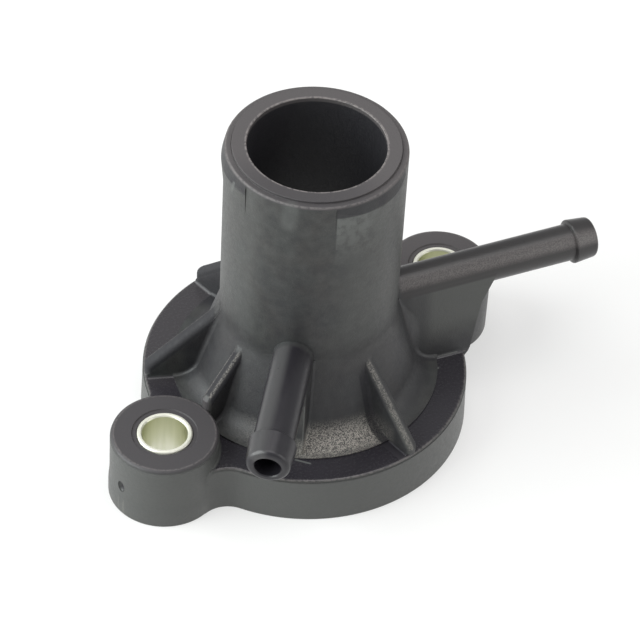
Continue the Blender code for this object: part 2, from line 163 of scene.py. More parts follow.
def in_scene(name: str, data: bpy.types.ID) -> bpy.types.Object:
    """Put new data into the scene.

    Args:
        name: Name of the object.
        data: Its mesh, light or camera.

    Returns:
        The object, at the origin.
    """
    item = bpy.data.objects.new(name, data)
    bpy.context.scene.collection.objects.link(item)
    return item


class Solid:
    """A closed mesh, whose object stays at the origin."""

    def __init__(self, bm: bmesh.types.BMesh) -> None:
        """Finish a bmesh with faces that point outwards.

        Args:
            bm: The mesh, which is freed.
        """
        bmesh.ops.remove_doubles(bm, verts=bm.verts, dist=MERGE)
        bmesh.ops.recalc_face_normals(bm, faces=bm.faces)
        mesh = bpy.data.meshes.new("solid")
        bm.to_mesh(mesh)
        bm.free()
        self.object = in_scene("solid", mesh)

    @classmethod
    def turned(cls, profile: Sequence[Point], facets: int, closed: bool = False) -> "Solid":
        """Turn a profile once round the Z axis.

        Args:
            profile: Points as (radius, height), from the axis to the axis unless closed.
            facets: Steps round the axis.
            closed: Whether the profile is a loop away from the axis.

        Returns:
            The turned solid.
        """
        bm = bmesh.new()
        verts = [bm.verts.new((radius, 0.0, height)) for radius, height in profile]
        edges = [bm.edges.new(pair) for pair in zip(verts, verts[1:] + verts[:1] * closed)]
        bmesh.ops.spin(
            bm, geom=verts + edges, cent=(0.0, 0.0, 0.0), axis=(0.0, 0.0, 1.0),
            angle=2 * math.pi, steps=facets, use_merge=True,
        )
        bmesh.ops.remove_doubles(bm, verts=bm.verts, dist=MERGE)
        if not closed:
            on_axis = [vert for vert in bm.verts if vert.co.xy.length < MERGE]
            bmesh.ops.dissolve_verts(bm, verts=on_axis)
        return cls(bm)

    @classmethod
    def lofted(cls, rings: Sequence[Ring]) -> "Solid":
        """Skin rings of as many points each.

        Args:
            rings: The rings, in order.

        Returns:
            The closed solid.
        """
        bm = bmesh.new()
        loops = []
        for ring in rings:
            verts = [bm.verts.new(point) for point in ring]
            loops.append((verts, [bm.edges.new(pair) for pair in zip(verts, verts[1:] + verts[:1])]))
        for lower, upper in zip(loops, loops[1:]):
            bmesh.ops.bridge_loops(bm, edges=lower[1] + upper[1])
        bm.faces.new(list(reversed(loops[0][0])))
        bm.faces.new(loops[-1][0])
        return cls(bm)

    @classmethod
    def slab(cls, outline: Sequence[Point], low: float, high: float) -> "Solid":
        """Extrude an outline along Y.

        Args:
            outline: Points as (x, z).
            low: First Y.
            high: Last Y.

        Returns:
            The closed solid.
        """
        bm = bmesh.new()
        side = bm.faces.new([bm.verts.new((x, low, z)) for x, z in outline])
        grown = bmesh.ops.extrude_face_region(bm, geom=[side])["geom"]
        moved = [item for item in grown if isinstance(item, bmesh.types.BMVert)]
        bmesh.ops.translate(bm, verts=moved, vec=(0.0, high - low, 0.0))
        return cls(bm)

    def moved(self, transform: Matrix) -> "Solid":
        """Move the mesh, and not the object."""
        self.object.data.transform(transform)
        return self

    def at(self, centre_x: float) -> "Solid":
        """Move the mesh along X."""
        return self.moved(Matrix.Translation((centre_x, 0.0, 0.0)))

    def swung(self, angle: float) -> "Solid":
        """Turn the mesh about the neck's axis."""
        return self.moved(Matrix.Rotation(angle, 4, "Z"))

    def join(self, tools: Sequence["Solid"], way: Join) -> "Solid":
        """Change the solid by others in one step, worked out in millimetres.

        Args:
            tools: The solids that are used up.
            way: What they do to it.

        Returns:
            The same solid.
        """
        group = bpy.data.collections.new("tools")
        bpy.context.scene.collection.children.link(group)
        self.moved(Matrix.Scale(1 / MM, 4))
        for tool in tools:
            group.objects.link(tool.moved(Matrix.Scale(1 / MM, 4)).object)
        modifier = self.object.modifiers.new("join", "BOOLEAN")
        modifier.operation = way.value
        modifier.solver = "EXACT"
        modifier.operand_type = "COLLECTION"
        modifier.collection = group
        depsgraph = bpy.context.evaluated_depsgraph_get()
        result = bpy.data.meshes.new_from_object(self.object.evaluated_get(depsgraph))
        self.object.modifiers.clear()
        self.object.data = result
        for tool in tools:
            bpy.data.objects.remove(tool.object)
        bpy.data.collections.remove(group)
        return self.moved(Matrix.Scale(MM, 4))

    def dress(self, name: str, material: bpy.types.Material, corner: float) -> None:
        """Make the solid a finished piece.

        Args:
            name: Name of the piece.
            material: Its only material.
            corner: Angle in degrees from which an edge stays sharp.
        """
        self.object.name = name
        mesh = self.object.data
        mesh.shade_smooth()
        mesh.set_sharp_from_angle(angle=math.radians(corner))
        mesh.materials.clear()
        mesh.materials.append(material)


@dataclass
class Neck:
    """The hose neck, its rim and the cone that it stands on."""

    top: float
    bore: float = 12.65 * MM
    top_radius: float = 16.6 * MM
    foot_radius: float = 16.6 * MM
    foot_height: float = 26.55 * MM
    foot_round: float = 8.0 * MM
    cone_slope: float = 0.305
    cone_fillet: float = 5.0 * MM
    land: float = 10.05 * MM
    cone_edge: float = 0.35 * MM
    rim_face: float = 15.3 * MM
    rim_step: float = 0.45 * MM
    rim_groove: float = 0.16 * MM
    rim_lip: float = 0.5 * MM
    root: float = 4.0 * MM
    skin_step: float = 0.8 * MM

    def wall_middle(self) -> float:
        """Radius halfway through the wall of the neck."""
        return (self.bore + self.top_radius) / 2

    def cone_radius(self, height: float) -> float:
        """Outer radius of the cone at a height."""
        return self.foot_radius + (self.foot_height - height) * self.cone_slope

    def flank(self) -> list[Point]:
        """Profile of the outer side, from the toe of the cone to the rim.

        Returns:
            Points as (radius, height).
        """
        foot_top = self.land + self.cone_edge
        toe = self.cone_radius(foot_top)
        half_turn = (math.pi / 2 - math.atan(self.cone_slope)) / 2
        step = self.top - self.rim_step
        return rounded([
            (toe + self.cone_fillet * math.tan(half_turn), foot_top),
            (toe, foot_top, self.cone_fillet),
            (self.foot_radius, self.foot_height, self.foot_round),
            (self.top_radius, step, self.rim_lip),
            (self.rim_face + self.rim_groove, step),
        ], Fineness.WIDE_ARC)[1:]

    def body(self) -> Solid:
        """The neck and the cone as one turned solid.

        Returns:
            The solid, not yet hollow.
        """
        flank = self.flank()
        buried = self.land - self.root
        step = self.top - self.rim_step
        face, groove = self.rim_face, self.rim_groove
        return Solid.turned([
            (0.0, buried), (flank[0][0], buried), *flank,
            (face + groove / 2, step - groove / 2), (face, step),
            (face, self.top - groove / 3), (face - groove / 3, self.top), (0.0, self.top),
        ], Fineness.NECK)

    def skin(self, rim_radius: float) -> Skin:
        """Stations of the surface that ribs and webs stand on.

        Args:
            rim_radius: Radius at which the land ends.

        Returns:
            (radius, height, radial normal, upward normal) at each station.
        """
        upper = [point for point in self.flank() if point[1] < self.top / 2]
        path = [(rim_radius, self.land), (upper[0][0], self.land)] + upper
        path.append((self.top_radius, self.top / 2))
        fine: list[Point] = [path[0]]
        for (r_a, z_a), (r_b, z_b) in zip(path, path[1:]):
            count = max(1, math.ceil(math.hypot(r_b - r_a, z_b - z_a) / self.skin_step))
            fine += [(r_a + (r_b - r_a) * k / count, z_a + (z_b - z_a) * k / count) for k in range(1, count + 1)]
        stations = []
        for index, (radius, height) in enumerate(fine):
            before, after = fine[max(index - 1, 0)], fine[min(index + 1, len(fine) - 1)]
            along = Vector((after[0] - before[0], after[1] - before[1])).normalized()
            stations.append((radius, height, along.y, -along.x))
        return stations


@dataclass(frozen=True)
class Fillet:
    """A rolled fillet between a flat side and the turned skin of the neck."""

    foot: float = 0.7 * MM
    upper: float = 1.1 * MM
    blend_low: float = 10.5 * MM
    blend_high: float = 15.0 * MM
    fade: float = 0.0
    fade_low: float = 19.5 * MM
    fade_high: float = 23.8 * MM
    backing: float = 0.35 * MM

    def radius_at(self, height: float) -> float:
        """Radius of the fillet at a height."""
        grown = self.foot + (self.upper - self.foot) * smoothstep(height, self.blend_low, self.blend_high)
        return grown - self.fade * smoothstep(height, self.fade_low, self.fade_high)

    def strip(self, skin: Skin, normal: Vector, offset: float) -> Solid:
        """Make the fillet as a closed strip.

        Args:
            skin: Stations of the surface that it rolls on.
            normal: Unit normal of the flat side, with no X.
            offset: Distance of the flat side from the origin along its normal.

        Returns:
            The strip, for a side that lies along +X.
        """
        rings: list[Ring] = []
        for radius, height, outward, upward in skin:
            size = self.radius_at(height)
            reach = size - OVERLAP
            ball_radius = radius + outward * reach
            ball_height = height + upward * reach
            across = (offset + reach - normal.z * ball_height) / normal.y
            if abs(across) >= ball_radius:
                continue
            along = math.sqrt(ball_radius ** 2 - across ** 2)
            centre = Vector((along, across, ball_height))
            turn = Vector((outward * along / ball_radius, outward * across / ball_radius, upward))
            first, last = -normal, -turn.normalized()
            ring = [centre + first.slerp(last, step / Fineness.ARC) * size for step in range(Fineness.ARC + 1)]
            back = size + self.backing
            rings.append(ring + [centre + way * back for way in (last, first + last, first)])
        return Solid.lofted(rings)

    def beside(
        self, hand: float, half: float, widest: float, skin: Skin, guard: Sequence[Point],
        top: float = 0.0, slant: float = 0.0,
    ) -> Solid:
        """Lay the fillet along one side of a rib or web that points along +X.

        Args:
            hand: The side, -1 or 1.
            half: Distance of the side from the middle at its top.
            widest: The same at its foot.
            skin: Stations of the surface that it rolls on.
            guard: Outline as (x, z) past which it is cut away.
            top: Height of the top of a side that leans out.
            slant: How far that side leans out for each step down.

        Returns:
            The trimmed fillet.
        """
        normal = Vector((0.0, hand, slant)).normalized()
        strip = self.strip(skin, normal, normal.y * hand * half + normal.z * top)
        reach = hand * (widest + self.upper * 2)
        return strip.join([Solid.slab(guard, min(0.0, reach), max(0.0, reach))], Join.KEEP)


@dataclass
class Lug:
    """A bolt lug with its sleeve seat."""

    side: int
    reach: float
    height: float = 14.4 * MM
    top_radius: float = 10.1 * MM
    lean: float = 0.1 * MM
    step: float = 0.2 * MM
    step_foot: float = 2.4 * MM
    step_top: float = 5.6 * MM
    edge_round: float = 0.7 * MM
    ledge_drop: float = 0.85 * MM
    ledge: float = 0.14 * MM
    foot_chamfer: float = 0.15 * MM
    hole: float = 5.17 * MM
    recess: float = 6.0 * MM
    recess_depth: float = 0.25 * MM
    recess_edge: float = 0.2 * MM
    margin: float = 1.0 * MM
    stations: int = 14
    collar_share: float = 0.98

    def centre(self) -> float:
        """Place of the lug's axis along X."""
        return self.side * self.reach

    def wall(self, height: float) -> float:
        """Outer radius at a height, which widens softly towards the foot."""
        widened = self.step * smoothstep(height, self.step_top, self.step_foot)
        return self.top_radius + self.lean * (1 - height / self.height) + widened

    def body(self) -> Solid:
        """The solid lug.

        Returns:
            The lug without its hole.
        """
        ledge_height = self.height - self.ledge_drop
        rise = (ledge_height - self.foot_chamfer) / self.stations
        heights = [self.foot_chamfer + rise * station for station in range(self.stations + 1)]
        crown = self.top_radius - self.ledge / 2
        profile = rounded([
            (0.0, 0.0), (self.wall(0.0) - self.foot_chamfer, 0.0),
            *((self.wall(height), height) for height in heights),
            (crown, ledge_height + self.ledge / 4), (crown, self.height, self.edge_round), (0.0, self.height),
        ])
        return Solid.turned(profile, Fineness.LUG).at(self.centre())

    def collar(self, land: float, size: float) -> Solid:
        """The fillet between the lug's side and the land.

        Args:
            land: Height of the land.
            size: Radius of the fillet.

        Returns:
            The ring-shaped fillet, still untrimmed.
        """
        wall = self.wall(land)
        buried = self.hole + (wall - self.hole) / 2
        floor = land - OVERLAP
        profile = rounded([
            (buried, land - size), (wall + size, land - size), (wall + size, floor),
            (wall, floor, size * self.collar_share), (wall, floor + size), (buried, floor + size),
        ])
        return Solid.turned(profile, Fineness.LUG, closed=True).at(self.centre())

    def seat(self) -> Solid:
        """Cutter for the sleeve's hole and the shallow recess round it.

        Returns:
            The cutter.
        """
        floor, above = self.height - self.recess_depth, self.height + self.margin
        edge = self.recess + self.recess_edge
        return Solid.turned([
            (0.0, -self.margin), (self.hole, -self.margin), (self.hole, floor - self.recess_edge),
            (self.hole + self.recess_edge, floor), (self.recess, floor),
            (edge, self.height + self.recess_edge / 4), (edge, above), (0.0, above),
        ], Fineness.SLEEVE_SEAT).at(self.centre())


@dataclass
class Flange:
    """The round flange whose outline runs into both lugs."""

    lugs: Sequence[Lug]
    thickness: float = 10.05 * MM
    radius: float = 30.65 * MM
    draft: float = 0.4 * MM
    edge_round: float = 0.45 * MM
    ledge_drop: float = 0.62 * MM
    ledge: float = 0.13 * MM
    lug_fillet: float = 6.0 * MM
    foot_chamfer: float = 0.15 * MM
    level_rise: float = 0.7 * MM

    def shoulder(self, inset: float, lug: Lug, height: float) -> tuple[list[Point], float]:
        """Fillet that leads from a lug on the +X side to the round outline.

        Args:
            inset: How far the outline shrinks.
            lug: The lug.
            height: Height of the outline.

        Returns:
            The points of the fillet, and the angle at which it meets the round outline.
        """
        fillet = self.lug_fillet + inset
        to_flange = self.radius - inset + fillet
        to_lug = lug.wall(height) - OVERLAP - max(inset, 0.0) + fillet
        cosine = (to_flange ** 2 + lug.reach ** 2 - to_lug ** 2) / (2 * to_flange * lug.reach)
        spread = math.acos(cosine)
        centre = (to_flange * cosine, to_flange * math.sin(spread))
        lug_side = math.atan2(-centre[1], lug.reach - centre[0])
        return arc(centre, fillet, lug_side, spread - math.pi, Fineness.WIDE_ARC), spread

    def ring(self, inset: float, height: float, level: float) -> Ring:
        """Outline with the fillets that lead into both lugs.

        Args:
            inset: How far it shrinks.
            height: Height that sets the lugs' radii.
            level: Height at which it lies.

        Returns:
            The points, anticlockwise.
        """
        front, rear = self.lugs
        far, front_spread = self.shoulder(inset, front, height)
        near, rear_spread = self.shoulder(inset, rear, height)
        crown = arc((0.0, 0.0), self.radius - inset, rear_spread, math.pi - front_spread, Fineness.CROWN)
        upper = near + crown[1:-1] + [(-x, y) for x, y in reversed(far)]
        return [Vector((x, y, level)) for x, y in upper + [(x, -y) for x, y in reversed(upper)]]

    def plate(self) -> Solid:
        """The flange with draft, a fine parting ledge and a rounded top edge.

        Returns:
            The solid.
        """
        ledge_height = self.thickness - self.ledge_drop
        levels = [(0.0, self.foot_chamfer - self.draft)]
        count = math.ceil(ledge_height / self.level_rise)
        for share in (station / count for station in range(count + 1)):
            height = self.foot_chamfer + (ledge_height - self.foot_chamfer) * share
            levels.append((height, -self.draft + (self.draft - self.ledge) * share))
        levels.append((ledge_height + self.ledge / 4, 0.0))
        for turn in (math.pi / 2 * step / Fineness.ARC for step in range(Fineness.ARC + 1)):
            rise = self.edge_round * math.sin(turn)
            levels.append((self.thickness - self.edge_round + rise, self.edge_round * (1 - math.cos(turn))))
        return Solid.lofted([self.ring(inset, height, height) for height, inset in levels])

    def cover(self) -> Solid:
        """A tall block over the land, which trims what must not pass its edge."""
        levels = (self.thickness / 2, self.thickness * 4)
        return Solid.lofted([self.ring(self.edge_round, self.thickness, level) for level in levels])


@dataclass
class Bead:
    """The bead below the rim: three pads with a ramp above and a long taper below."""

    top: float
    skin: float
    count: int = 3
    sunk: float = 0.8 * MM
    overlap: float = 0.03 * MM
    middle_radius: float = 17.15 * MM
    end_radius: float = 16.8 * MM
    drop: float = 0.7 * MM
    ramp: float = 0.235
    foot_drop: float = 9.0 * MM
    edge: float = 0.25 * MM
    sweep: float = math.radians(58.5)
    first: float = math.radians(29.5)
    stations: int = 24

    def middles(self) -> list[float]:
        """Angles of the middles of the pads."""
        return [self.first + 2 * math.pi * index / self.count for index in range(self.count)]

    def section(self, share: float) -> list[Point]:
        """Section of a pad.

        Args:
            share: Place along the pad, from -1 to 1.

        Returns:
            Points as (radius, height).
        """
        peak = self.end_radius + (self.middle_radius - self.end_radius) * (1 - share ** 2)
        root, side = self.skin - self.sunk, self.skin - self.overlap
        start, foot = self.top - self.drop, self.top - self.foot_drop
        crown = (peak, start - (peak - side) / self.ramp, self.edge)
        return rounded([(root, start), (side, start), crown, (side, foot), (root, foot)], Fineness.BEAD_ARC)

    def pads(self) -> list[Solid]:
        """All the pads.

        Returns:
            One solid for each pad.
        """
        shares = [2 * station / self.stations - 1 for station in range(self.stations + 1)]
        solids = []
        for middle in self.middles():
            turns = [(share, middle + share * self.sweep / 2) for share in shares]
            solids.append(Solid.lofted([
                [Vector((radius * math.cos(turn), radius * math.sin(turn), height))
                 for radius, height in self.section(share)]
                for share, turn in turns
            ]))
        return solids


@dataclass
class Rib:
    """A rib between the cone and the land."""

    angle: float
    thickness: float
    crest: list[Point]
    foot: float
    crest_round: float
    fillet: Fillet

    def parts(self, skin: Skin) -> list[Solid]:
        """The rib and the fillets at its foot.

        Args:
            skin: Stations of the surface that it stands on.

        Returns:
            The closed solids.
        """
        start, end, half = self.crest[0][0], self.crest[-1][0], self.thickness / 2
        slab = Solid.slab(self.crest + [(end, self.foot), (start, self.foot)], -half, half)
        self.round_crest(slab.object.data, start)
        low = [(x, z - self.crest_round) for x, z in self.crest]
        guard = low + [(end + self.crest_round, self.foot), (start, self.foot)]
        strips = [self.fillet.beside(hand, half, half, skin, guard) for hand in (-1.0, 1.0)]
        return [solid.swung(self.angle) for solid in (slab, *strips)]

    def round_crest(self, mesh: bpy.types.Mesh, start: float) -> None:
        """Round the long edges of the crest and of the outer end.

        Args:
            mesh: The plain rib.
            start: Where the rib starts inside the neck.
        """
        bm = bmesh.new()
        bm.from_mesh(mesh)
        edges = [
            edge for edge in bm.edges
            if abs(edge.verts[0].co.y - edge.verts[1].co.y) < MERGE
            and max(vert.co.x for vert in edge.verts) > start + MERGE
            and max(vert.co.z for vert in edge.verts) > self.foot + MERGE
        ]
        bmesh.ops.bevel(
            bm, geom=edges, offset=self.crest_round, offset_type="OFFSET", affect="EDGES",
            segments=Fineness.ARC, profile=0.5, material=-1,
        )
        bm.to_mesh(mesh)
        bm.free()


@dataclass(frozen=True)
class CrestLine:
    """The straight crest that all ribs of one kind have, with their angles in degrees."""

    angles: tuple[float, ...]
    thickness: float
    top: float
    end: float
    end_radius: float = 0.0
    start_radius: float = 16.95 * MM

    def slope(self) -> float:
        """Rise of the crest for each step outwards."""
        return (self.end - self.top) / (self.end_radius - self.start_radius)

    def at(self, radius: float) -> Point:
        """Point of the crest at a radius."""
        return radius, self.top + self.slope() * (radius - self.start_radius)


@dataclass
class RibSet:
    """All the ribs round the cone: tall ones, a plain one and one to each lug."""

    neck: Neck
    rim: float
    lug_end: float
    tall: CrestLine = CrestLine((35.0, 90.0, 145.0), 2.8 * MM, 26.3 * MM, 12.8 * MM)
    plain: CrestLine = CrestLine((-91.2,), 2.4 * MM, 24.9 * MM, 11.9 * MM)
    to_lug: CrestLine = CrestLine((0.0, 180.0), 2.4 * MM, 24.9 * MM, 16.4 * MM)
    tall_blend: float = 8.5 * MM
    tall_rise: float = 6.0 * MM
    tall_round: float = 1.15 * MM
    thin_round: float = 0.95 * MM
    end_round: float = 1.6 * MM
    setback: float = 0.1 * MM
    tall_fillet: Fillet = Fillet()
    plain_fillet: Fillet = Fillet(foot=0.35 * MM, upper=0.9 * MM, fade=0.65 * MM)
    lug_fillet: Fillet = Fillet(fade=0.85 * MM)

    def __post_init__(self) -> None:
        """Let each crest end at the rim of the land or at the lugs."""
        rim = self.rim - self.setback
        self.tall, self.plain = (replace(line, end_radius=rim) for line in (self.tall, self.plain))
        self.to_lug = replace(self.to_lug, end_radius=self.lug_end)

    def ribs(self) -> list[Rib]:
        """All the ribs.

        Returns:
            The ribs, not yet made.
        """
        land, start = self.neck.land, self.neck.wall_middle()
        rim = self.rim - self.setback
        neck_skin = self.neck.foot_radius - self.setback * 2
        tall = rounded([
            (start, self.tall.top + self.tall_rise),
            (neck_skin, self.tall.top + self.tall_rise),
            (*self.tall.at(neck_skin), self.tall_blend),
            (rim, self.tall.end, self.end_round),
            (rim, land),
        ])
        plain = rounded([self.plain.at(start), (rim, self.plain.end, self.end_round), (rim, land)])
        to_lug = [self.to_lug.at(start), (self.lug_end, self.to_lug.end), (self.lug_end, land)]
        kinds = (
            (self.tall, tall, self.tall_round, self.tall_fillet),
            (self.plain, plain, self.thin_round, self.plain_fillet),
            (self.to_lug, to_lug, self.thin_round, self.lug_fillet),
        )
        return [
            Rib(math.radians(angle), line.thickness, crest, land - self.neck.root, crest_round, fillet)
            for line, crest, crest_round, fillet in kinds for angle in line.angles
        ]


@dataclass
class HosePipe:
    """A small pipe that ends in a barb."""

    angle: float
    height: float
    slope: float
    radius: float
    bore: float
    reach: float
    barb_length: float
    barb_radius: float
    tip_radius: float
    tip_round: float
    shoulder_round: float = 0.3 * MM
    shoulder_slope: float = 0.35
    bore_edge: float = 0.2 * MM

    def on_ray(self, profile: Sequence[Point], facets: int) -> Solid:
        """Turn a profile and lay it on the pipe's ray from the neck's axis."""
        lay = Matrix.Rotation(self.angle, 4, "Z") @ Matrix.Rotation(math.pi / 2 + self.slope, 4, "Y")
        return Solid.turned(profile, facets).moved(Matrix.Translation((0.0, 0.0, self.height)) @ lay)

    def body(self, root: float) -> Solid:
        """The pipe, not yet hollow.

        Args:
            root: Distance from the neck's axis at which it starts.

        Returns:
            The solid.
        """
        barb = self.reach - self.barb_length
        shoulder = barb + (self.barb_radius - self.radius) * self.shoulder_slope
        profile = rounded([
            (0.0, root), (self.radius, root), (self.radius, barb),
            (self.barb_radius, shoulder, self.shoulder_round),
            (self.tip_radius, self.reach, self.tip_round), (0.0, self.reach),
        ])
        return self.on_ray(profile, Fineness.PIPE)

    def hollow(self, start: float, margin: float) -> Solid:
        """Cutter for the bore.

        Args:
            start: Distance from the neck's axis at which it starts.
            margin: How far it runs past the tip.

        Returns:
            The cutter.
        """
        mouth = self.bore + self.bore_edge * 2
        return self.on_ray([
            (0.0, start), (self.bore, start), (self.bore, self.reach - self.bore_edge),
            (mouth, self.reach + self.bore_edge), (mouth, self.reach + margin), (0.0, self.reach + margin),
        ], Fineness.PIPE_BORE)


@dataclass
class Web:
    """A drafted web between the neck, the land and a small pipe."""

    pipe: HosePipe
    neck: Neck
    flange: Flange
    edge_round: float = 0.3 * MM
    bevel: tuple[Point, ...] = ((1.0, 0.0), (0.0, 1.0))

    def ring(self, height: float, reach: float, right: float, left: float) -> Ring:
        """Section of the web.

        Args:
            height: Height of the section.
            reach: Distance of its end from the neck's axis.
            right: How far it reaches to the right.
            left: How far it reaches to the left.

        Returns:
            The points, anticlockwise.
        """
        near, cut = self.neck.wall_middle(), self.edge_round
        end = [(reach - cut * back, cut * side) for back, side in self.bevel]
        corners = [(near, -right), *((x, y - right) for x, y in end)]
        corners += [*((x, left - y) for x, y in reversed(end)), (near, left)]
        return [Vector((x, y, height)) for x, y in corners]


@dataclass
class SideWeb(Web):
    """The web under the side pipe, with a small gusset at its top."""

    edge_round: float = 0.5 * MM
    bevel: tuple[Point, ...] = ((1.0, 0.0), (0.3, 0.3), (0.0, 1.0))
    top_half: float = 3.54 * MM
    open_foot: float = 7.3 * MM
    lug_foot: float = 4.0 * MM
    top_reach: float = 34.3 * MM
    foot_reach: float = 31.4 * MM
    gusset: float = 3.6 * MM
    gusset_drop: float = 5.4 * MM
    open_fillet: Fillet = Fillet(
        foot=0.9 * MM, upper=4.2 * MM, blend_high=18.5 * MM, fade=3.4 * MM, fade_low=18.5 * MM, fade_high=24.4 * MM,
    )
    lug_fillet: Fillet = Fillet(foot=0.6 * MM, upper=1.5 * MM)

    def parts(self) -> list[Solid]:
        """The web and its fillets.

        Returns:
            The closed solids.
        """
        near, land = self.neck.wall_middle(), self.flange.thickness
        sunk, lip, toe = self.neck.root, self.flange.edge_round, land + self.neck.cone_edge
        top = self.pipe.height + math.sqrt(self.pipe.radius ** 2 - self.top_half ** 2)
        gusset_foot = top - self.gusset_drop
        slants = [(foot - self.top_half) / (top - land) for foot in (self.open_foot, self.lug_foot)]
        levels = (
            (land - sunk, self.foot_reach - sunk),
            (land - lip, self.foot_reach - lip),
            (toe, self.foot_reach),
            (gusset_foot, self.top_reach),
            (top, self.top_reach + self.gusset),
        )
        web = Solid.lofted([
            self.ring(height, reach, *(self.top_half + slant * max(top - height, 0.0) for slant in slants))
            for height, reach in levels
        ])
        end = self.foot_reach - self.edge_round
        guard = [
            (near, land / 2), (end, land / 2), (end, toe),
            (self.top_reach - self.edge_round, gusset_foot), (self.top_reach, top), (near, top),
        ]
        skin = self.neck.skin(self.flange.radius)
        strips = [
            fillet.beside(hand, self.top_half, self.open_foot, skin, guard, top, slant)
            for hand, slant, fillet in zip((-1.0, 1.0), slants, (self.open_fillet, self.lug_fillet))
        ]
        return [solid.swung(self.pipe.angle) for solid in (web, *strips)]


@dataclass
class NippleWeb(Web):
    """The web under the front nipple, with an upright outer face."""

    top_half: float = 3.65 * MM
    foot_half: float = 3.85 * MM
    reach: float = 24.2 * MM
    fillet: Fillet = Fillet(foot=0.6 * MM, upper=0.9 * MM)

    def parts(self) -> list[Solid]:
        """The web and its fillets.

        Returns:
            The closed solids.
        """
        near, land, end = self.neck.wall_middle(), self.flange.thickness, self.reach - self.edge_round
        top = self.pipe.height - self.reach * math.tan(self.pipe.slope)
        levels = ((land - self.neck.root, self.foot_half), (land, self.foot_half), (top, self.top_half))
        web = Solid.lofted([self.ring(height, self.reach, half, half) for height, half in levels])
        slant = (self.foot_half - self.top_half) / (top - land)
        guard = [(near, land / 2), (end, land / 2), (end, top), (near, top)]
        skin = self.neck.skin(self.flange.radius)
        strips = [
            self.fillet.beside(hand, self.top_half, self.foot_half, skin, guard, top, slant)
            for hand in (-1.0, 1.0)
        ]
        return [solid.swung(self.pipe.angle) for solid in (web, *strips)]


@dataclass
class Underside:
    """The seat and chamber of the thermostat, and the neck's bore."""

    seat_radius: float = 26.0 * MM
    seat_depth: float = 3.0 * MM
    chamber_radius: float = 22.8 * MM
    chamber_height: float = 7.2 * MM
    cone_wall: float = 3.1 * MM
    edge_round: float = 1.5 * MM
    small_round: float = 0.3 * MM
    bore_edge: float = 0.12 * MM
    margin: float = 1.0 * MM

    def cutter(self, neck: Neck) -> Solid:
        """Cutter for the whole waterway.

        Args:
            neck: The neck that it runs through.

        Returns:
            The cutter.
        """
        wall = self.cone_wall * math.sqrt(1 + neck.cone_slope ** 2)
        throat = neck.cone_radius(self.chamber_height) - wall
        throat_end = self.chamber_height + (throat - neck.bore) / neck.cone_slope
        mouth, outlet, above = self.seat_radius + self.small_round, neck.bore + self.bore_edge, neck.top + self.margin
        profile = rounded([
            (0.0, -self.margin), (mouth, -self.margin), (mouth, 0.0), (self.seat_radius, self.small_round),
            (self.seat_radius, self.seat_depth, self.small_round),
            (self.chamber_radius, self.seat_depth, self.small_round),
            (self.chamber_radius, self.chamber_height, self.edge_round),
            (throat, self.chamber_height, self.edge_round),
            (neck.bore, throat_end, neck.foot_round),
            (neck.bore, neck.top - self.bore_edge), (outlet, neck.top), (outlet, above), (0.0, above),
        ])
        return Solid.turned(profile, Fineness.WATERWAY)


@dataclass
class Pit:
    """A shallow gate mark in the side of the front lug."""

    lug: Lug
    angle: float = math.radians(178.0)
    height: float = 6.6 * MM
    width: float = 1.9 * MM
    tall: float = 2.5 * MM
    depth: float = 0.65 * MM

    def cutter(self) -> Solid:
        """Cutter for the pit.

        Returns:
            A flattened ball half sunk into the lug's side.
        """
        bm = bmesh.new()
        bmesh.ops.create_uvsphere(bm, u_segments=Fineness.BALL_ROUND, v_segments=Fineness.BALL_RISE, radius=0.5)
        scale = Matrix.Diagonal((self.depth * 2, self.width, self.tall, 1.0))
        out = Matrix.Translation((self.lug.wall(self.height), 0.0, self.height))
        turn = Matrix.Rotation(self.angle, 4, "Z")
        return Solid(bm).moved(Matrix.Translation((self.lug.centre(), 0.0, 0.0)) @ turn @ out @ scale)


def arithmetic(operation: str, reflected: bool = False) -> Callable[..., "Shade"]:
    """Make a method of Shade that adds a Math node.

    Args:
        operation: The node's operation.
        reflected: Whether the value itself comes second.

    Returns:
        The method.
    """
    def work(shade: "Shade", *others: "Shade | float") -> "Shade":
        """The result of the node."""
        operands = dict(enumerate((*others, shade) if reflected else (shade, *others)))
        return Shade(shade.bench, shade.bench.add("ShaderNodeMath", {"operation": operation}, operands))

    return work


class Shade:
    """A number that flows through the nodes and takes Python's own arithmetic."""

    __add__ = __radd__ = arithmetic("ADD")
    __sub__ = arithmetic("SUBTRACT")
    __rsub__ = arithmetic("SUBTRACT", reflected=True)
    __mul__ = __rmul__ = arithmetic("MULTIPLY")
    __truediv__ = arithmetic("DIVIDE")
    __rtruediv__ = arithmetic("DIVIDE", reflected=True)
    __abs__ = arithmetic("ABSOLUTE")
    highest = arithmetic("MAXIMUM")
    lowest = arithmetic("MINIMUM")
    root = arithmetic("SQRT")

    def __init__(self, bench: "Bench", node: bpy.types.Node, output: int | str = 0) -> None:
        """Wrap one output of a node on a bench."""
        self.bench, self.socket = bench, node.outputs[output]

    def ease(self, low: float, high: float) -> "Shade":
        """Rise smoothly from 0 to 1.

        Args:
            low: Value that gives 0.
            high: Value that gives 1, which may be the lower of the two.

        Returns:
            The eased value.
        """
        if low > high:
            return 1.0 - self.ease(high, low)
        inputs = {"Value": self, "From Min": low, "From Max": high}
        return Shade(self.bench, self.bench.add("ShaderNodeMapRange", {"interpolation_type": "SMOOTHSTEP"}, inputs))

    def within(self, start: float, full: float, until: float, end: float) -> "Shade":
        """Rise smoothly from 0 to 1 between the first two values, and fall between the others."""
        return self.ease(start, full) * self.ease(end, until)


def strongest(covers: Sequence[Shade]) -> Shade:
    """The largest of several covers."""
    return functools.reduce(Shade.highest, covers)


def rgb(red: float, green: float, blue: float) -> Colour:
    """A colour in linear light with full cover."""
    return red, green, blue, 1.0


